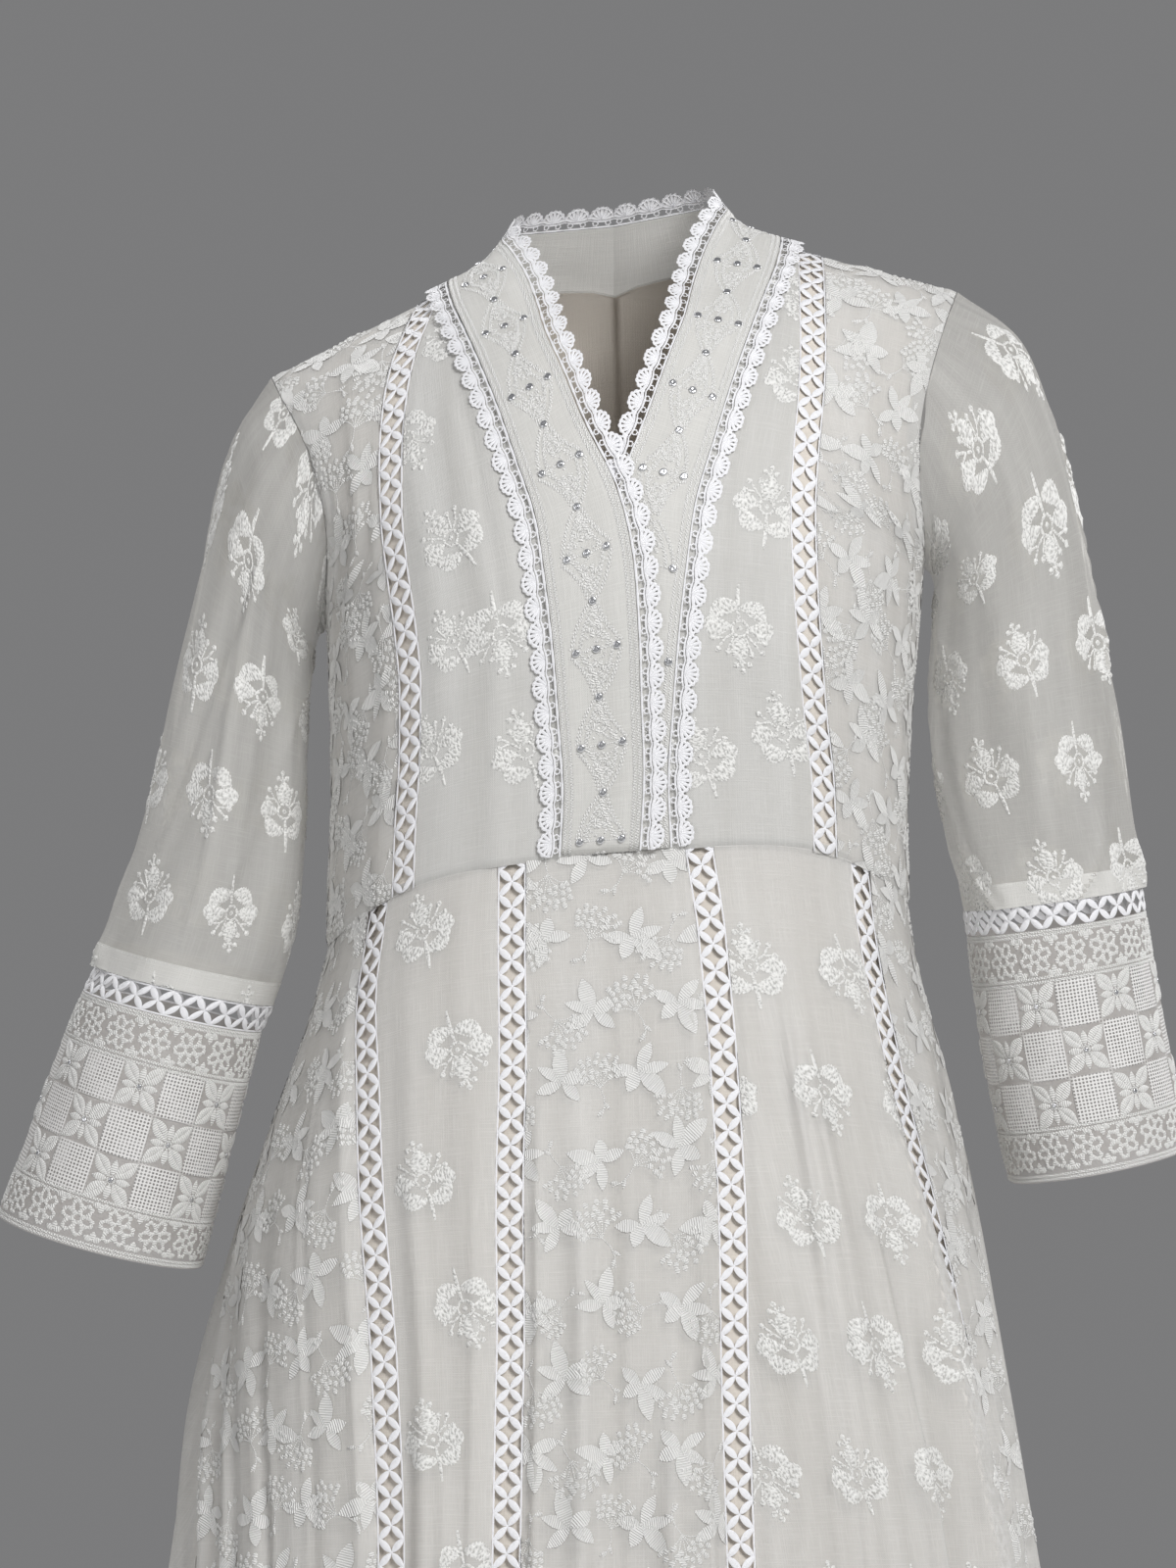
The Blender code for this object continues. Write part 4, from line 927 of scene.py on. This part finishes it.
for name in ("right", "left"):
    grid = grids["neckband_" + name]
    long, pitch = grid["down"][-1] / mm, bandWork["pitch"][name]
    single = bandWork["first"][name] + pitch * np.arange(-3, 8)
    triple = (single + pitch / 2)[(single > -10) & (single < long - 34)]
    beadRows[name] = single[(single > 16) & (single < long - 8)], triple
    # Ropes of slanted stitches along both edges
    beads = np.arange(0.5, long, 1.5)
    half = widthAt(grid, beads) / 2
    rope = np.concatenate([np.stack([side * (half - inset), -beads, 0 * beads + side * 6, 0 * beads + 1], -1)
                           for side in (-1, 1) for inset in (1.5, 4.3)])
    # Four branches cross at each single sequin, closer together where the strip is narrow
    squeeze = np.clip(widthAt(grid, single) / 42, 0.6, 1.1)
    vines = np.concatenate([np.stack([0 * single, -single, turn + side * 23 * squeeze, 0.96 + 0 * single], -1)
                            for turn in (0, 180) for side in (-1, 1)])
    vines = vines[(vines[:, 1] < -20) & (vines[:, 1] > 20 - long)]
    # Seed stitches strewn in a diamond about each row of three
    over, along = random.uniform(-1, 1, (2, len(triple), 110))
    strewn = np.stack([over * (1 - np.abs(along)) * 15, -triple[:, None] + along * 0.46 * pitch,
                       random.uniform(0, 180, over.shape), 0.8 + 0.4 * random.random(over.shape)], -1)
    strewn = strewn.reshape(-1, 4)
    strewn = strewn[(strewn[:, 1] < -12) & (strewn[:, 1] > 8 - long)]
    # The left strip's foot is under the right one
    if name == "left":
        rope = rope[(rope[:, 1] > -365) | (rope[:, 0] > 0)]
        vines = vines[vines[:, 1] > -360]
        strewn = strewn[strewn[:, 1] > -352]
    places = {"branch": vines, "rope": rope, "tie": [(0, -y, 0, 1) for y in triple], "seed": strewn}
    rows = np.concatenate([copies(bandWork[motif], at) for motif, at in places.items()])
    stitched("vine_" + name, grid, rows, thread, 0.65, 4)
    blooms = np.concatenate([[(0, -y - 11, 0, 1), (0, -y + 11, 180, 1)] for y in triple])
    stitched("blooms_" + name, grid, copies(bandWork["flower"], blooms), thread, 0.8, 6)

print("cuffs")
petal = {"middle": 6.4, "long": 3.9, "wide": 2.6, "overlap": 1.15}


# A ring of petals round the flower's middle, each an oval loop of six short cords
def loopedFlower():
    turn = np.arange(7) * pi / 3
    loop = np.stack([petal["middle"] + petal["long"] * np.cos(turn), petal["wide"] * np.sin(turn)], -1)
    cords = list(zip(loop, np.diff(loop, axis=0)))
    return [("stem", x * np.cos(a) - y * np.sin(a), x * np.sin(a) + y * np.cos(a),
             np.degrees(a + np.arctan2(v, u)), petal["overlap"] * np.hypot(u, v), 2.8, -0.6)
            for a in np.arange(6) * pi / 3 for (x, y), (u, v) in cords]


cuff = {"flowers": 16, "flower": chart(*loopedFlower()),
        "filler": chart(*[("bean", 0, 0, turn, 5.4, 3.6, 0) for turn in (20, 90, 160)]),
        "star": chart(*ringOf("leaf", 4, 2.2, 0, 16, 4.2, 2.2, -2.2, first=pi / 4),
                      *ringOf("leaf", 4, 2.2, 0, 9.5, 4.2, 0), *ringOf("stem", 8, 1.9, 100, 1.8, 0.9, -0.2)),
        "rope": chart(("bean", -0.9, -0.9, 50, 2.6, 1.4, 0)), "starSize": 26.5, "ropePitch": 1.7}
starPlaces = {}
for name in ("right", "left"):
    grid = grids["cuff_" + name]
    long, girth, edge = grid["down"][-1] / mm, grid["width"][0] / mm, cuffForm["border"]
    tile, tall = girth / cuffForm["round"], (long - 2 * edge) / cuffForm["rows"]
    pitch = girth / cuff["flowers"]
    # The lower border's flowers and fillers are half a pitch round from the upper one's
    places = {"flower": [((k + 0.5 * lower) * pitch, -y, 15 + 11 * k, 0.93) for k in range(cuff["flowers"])
                         for y, lower in ((15.2, 0), (long - 16.2, 1))],
              "filler": [((k + 0.5 + 0.5 * lower) * pitch, -y, turn, 1) for k in range(cuff["flowers"])
                         for y, turn, lower in ((4.5, 180, 0), (25.5, 0, 0),
                                                (long - 27, 180, 1), (long - 6, 0, 1))],
              "star": [((k + 0.5) * tile, -(edge + (row + 0.5) * tall), 0, tile / cuff["starSize"])
                       for row in range(cuffForm["rows"]) for k in range(cuffForm["round"]) if (k + row) % 2],
              "rope": [(x, -y, 0, 1) for y in (1.4, 3.2, edge - 1.2, edge + 1.2, long - edge - 1,
                                               long - edge + 1.4, long - 3.4, long - 1.4)
                       for x in np.arange(0, girth, girth / round(girth / cuff["ropePitch"]))]}
    starPlaces[name] = places["star"]
    stitched("cuff_flowers_" + name, grid, copies(cuff["flower"], places["flower"]), thread, 0.9, 4)
    stitched("cuff_stars_" + name, grid, copies(cuff["star"], places["star"]), thread, 0.9, 8)
    rows = np.concatenate([copies(cuff["filler"], places["filler"]), copies(cuff["rope"], places["rope"])])
    stitched("cuff_cords_" + name, grid, rows, thread, 0.8, 4)

print("hems")
hem = {"sleeve": 14 * mm, "skirt": 26 * mm, "lift": 0.2 * mm, "pitch": 3.1,
       "stitch": chart(("stem", -1.1, 0, 0, 2.2, 0.7, 0))}


# A narrow doubled band along the foot of a cloth, and a row of stitches at its top
def hemBand(name):
    grid = grids[name]
    closed, count = grid["closed"], grid["points"].shape[1]
    long, tall = grid["down"][-1], hem[name.split("_")[0]]
    row = np.linspace(long - tall, long - 0.2 * mm, 6)[:, None]
    if closed:
        x = np.arange(count)[None] / count * grid["width"][0] + 0 * row
    else:
        x = np.linspace(-0.5, 0.5, count)[None] * 0.999 * np.interp(row, grid["down"], grid["width"])
    turnedUp = gridOf(placed(grid, x, row + 0 * x, hem["lift"] + 0 * x), closed, grid["sign"])
    clothPiece("hem_" + name, turnedUp, doubled)
    wide = np.interp(long - tall, grid["down"], grid["width"]) / mm
    x = np.arange(0, wide, hem["pitch"]) - (0 if closed else wide / 2)
    places = np.stack([x, 0 * x - (long - tall) / mm - 1.2, 0 * x, 0 * x + 1], -1)
    stitched("hem_stitches_" + name, grid, copies(hem["stitch"], places), thread, 0.7, 4)


for name in ("sleeve_right", "sleeve_left", *skirtForm["panels"]):
    hemBand(name)

print("stones")
metal = Graph("stone", Base_Color=(0.84, 0.85, 0.88, 1), Metallic=1.0, Roughness=0.24).material
# A sequin's profile as radius and height, and how many sides it has
gem = {"rings": ((2.2, 0.1), (2.15, 0.45), (1.5, 0.8), (0.75, 0.62), (0.02, 0.5)), "sides": 12, "lift": 0.5}


# Small cupped sequins on a cloth, as rings of points about each place
def stones(name, grid, places, scale=1.0):
    x, y = np.array(places, float).T[:, :, None, None]
    radius, height = np.array(gem["rings"]).T[:, None, :, None] * scale
    turn = around(gem["sides"])[None, None]
    lift = (height + gem["lift"] + 0 * turn + 0 * x) * mm
    points = placed(grid, (x + radius * np.cos(turn)) * mm, (-y + radius * np.sin(turn)) * mm, lift)
    ringCount = len(gem["rings"])
    faces = repeated(quads(ringCount, gem["sides"], True), len(places), ringCount * gem["sides"])
    meshPiece(name, points.reshape(-1, 3), faces, metal)


for name, (singles, triples) in beadRows.items():
    spread = bandWork["spread"]
    places = [(0, -y) for y in singles] + [(x, -y) for y in triples for x in (-spread, 0, spread)]
    # The left strip's foot is under the right one, apart from its edge
    places = places if name == "right" else [(x, y) for x, y in places if y > -345 or x > 8]
    stones("stones_" + name, grids["neckband_" + name], places)
for name in ("right", "left"):
    stones("cuff_sequins_" + name, grids["cuff_" + name], [(x, y) for x, y, *_ in starPlaces[name]], 0.62)

print("cuts")
# Each cloth's flat cut in mm, its area in square metres, how it is held, what it hangs from or lies on,
# and the laces sewn to it
cuts = {
    "bodice_centre_right": (92, 382, 0.028, "hung", "lining_bodice_right", "ladder_bodice_right"),
    "bodice_centre_left": (88, 394, 0.024, "hung", "lining_bodice_left", "ladder_bodice_left"),
    "bodice_side_right": (120, 370, 0.034, "hung", "lining_bodice_right", ""),
    "bodice_side_left": (141, 387, 0.041, "hung", "lining_bodice_left", ""),
    "bodice_back": (472, 456, 0.158, "hung", "lining_bodice_back", ""),
    "skirt_side_right": (190, 900, 0.137, "gathered", "bodice_side_right lining_skirt", "ladder_skirt_1"),
    "skirt_front_right": (73, 925, 0.054, "gathered", "bodice_centre_right lining_skirt", "ladder_skirt_2"),
    "skirt_centre": (162, 937, 0.120, "gathered",
                     "bodice_centre_right bodice_centre_left lining_skirt", "ladder_skirt_3"),
    "skirt_front_left": (293, 942, 0.189, "gathered", "bodice_centre_left lining_skirt", "ladder_skirt_4"),
    "skirt_side_left": (96, 913, 0.077, "gathered", "bodice_side_left lining_skirt", ""),
    "skirt_back": (1270, 949, 0.84, "gathered", "bodice_back lining_skirt", ""),
    "sleeve_right": (350, 305, 0.106, "hung", "bodice_side_right bodice_back", ""),
    "sleeve_left": (361, 300, 0.108, "hung", "bodice_side_left bodice_back", ""),
    "cuff_right": (370, 138, 0.051, "hung", "sleeve_right", "ladder_sleeve_right"),
    "cuff_left": (357, 140, 0.050, "hung", "sleeve_left", "ladder_sleeve_left"),
    "neckband_right": (49, 520, 0.0227, "folded", "bodice_centre_right bodice_back",
                       "lace_outer_right lace_inner_right"),
    "neckband_left": (47, 533, 0.0195, "folded", "bodice_centre_left bodice_back",
                      "lace_outer_left lace_inner_left"),
    "lining_bodice_right": (250, 376, 0.073, "hung", "bodice_side_right", ""),
    "lining_bodice_left": (253, 388, 0.075, "hung", "bodice_side_left", ""),
    "lining_bodice_back": (470, 456, 0.156, "hung", "bodice_back", ""),
    "lining_skirt": (1960, 885, 1.24, "hung", "bodice_back bodice_centre_right bodice_centre_left", "")}
# What is stitched to each kind of cloth; a cuff's and a neckband's pieces are named for the side alone
sewn = {"bodice": "sprigs sprig_lines flowers sprays", "lining": "",
        "skirt": "sprigs sprig_lines flowers sprays hem hem_stitches",
        "sleeve": "sprigs sprig_lines hem hem_stitches",
        "cuff": "cuff_flowers cuff_stars cuff_cords cuff_sequins", "neckband": "vine blooms stones"}
for name, (wide, long, area, held, under, laces) in cuts.items():
    kind, side = name.split("_")[0], name.split("_")[-1]
    ending = side if kind in ("cuff", "neckband") else name
    names = [start + "_" + ending for start in sewn[kind].split()]
    names += [lace + end for lace in laces.split() for end in ("_petals", "_tapes", "_fans", "_edge")]
    pieces = [bpy.data.objects[piece] for piece in names if piece in bpy.data.objects]
    bpy.data.objects[name + "_cloth"]
    wide * mm
    long * mm

print("stage")
# The focal length is over the frame's height, both in pixels; lamps are place, size and power
view = {"place": (-0.0151, -2.6, -0.296), "focal": 4630 / 1600, "sensor": 36}
lamps = {"key": ((1.35, -2.7, 1.4), 1.2, 92), "fill": ((-2.3, -2.4, 0.4), 1.8, 20),
         "rim": ((-1.6, 1.8, 1.4), 1.2, 36), "rimLeft": ((2.0, 1.4, 0.6), 1.2, 24)}
ground = {"radius": 3, "height": -1.42, "sides": 64,
          "paint": (0.62, 0.62, 0.61, 1), "backdrop": (0.20, 0.20, 0.203, 1)}

camera = bpy.data.objects.new("camera", bpy.data.cameras.new("camera"))
camera.location, camera.rotation_euler = view["place"], (pi / 2, 0, 0)
camera.data.lens, camera.data.sensor_width = view["focal"] * view["sensor"], view["sensor"]
bpy.context.scene.collection.objects.link(camera)
bpy.context.scene.camera = camera
bpy.context.scene.view_settings.view_transform = "Standard"

floorMesh = bpy.data.meshes.new("floor")
turn, radius = around(ground["sides"]), ground["radius"]
disc = np.stack([radius * np.cos(turn), radius * np.sin(turn), 0 * turn + ground["height"]], -1)
floorMesh.from_pydata(disc.tolist(), [], [list(range(ground["sides"]))])
floor = bpy.data.objects.new("floor", floorMesh)
bpy.context.scene.collection.objects.link(floor)
floorMesh.materials.append(Graph("floorPaint", Base_Color=ground["paint"], Roughness=0.8).material)

for name, (place, size, power) in lamps.items():
    light = bpy.data.lights.new(name, "AREA")
    light.size, light.energy = size, power
    lamp = bpy.data.objects.new(name, light)
    lamp.location = place
    aim = bpy.data.objects.new(name + "Aim", None)
    aim.location = (0, 0, -0.4)
    for made in (lamp, aim):
        bpy.context.scene.collection.objects.link(made)
    lamp.constraints.new("TRACK_TO").target = aim
world = bpy.data.worlds.new("world")
world.use_nodes = True
background = world.node_tree.nodes["Background"].inputs
background["Color"].default_value, background["Strength"].default_value = ground["backdrop"], 1.0
bpy.context.scene.world = world

print("done")
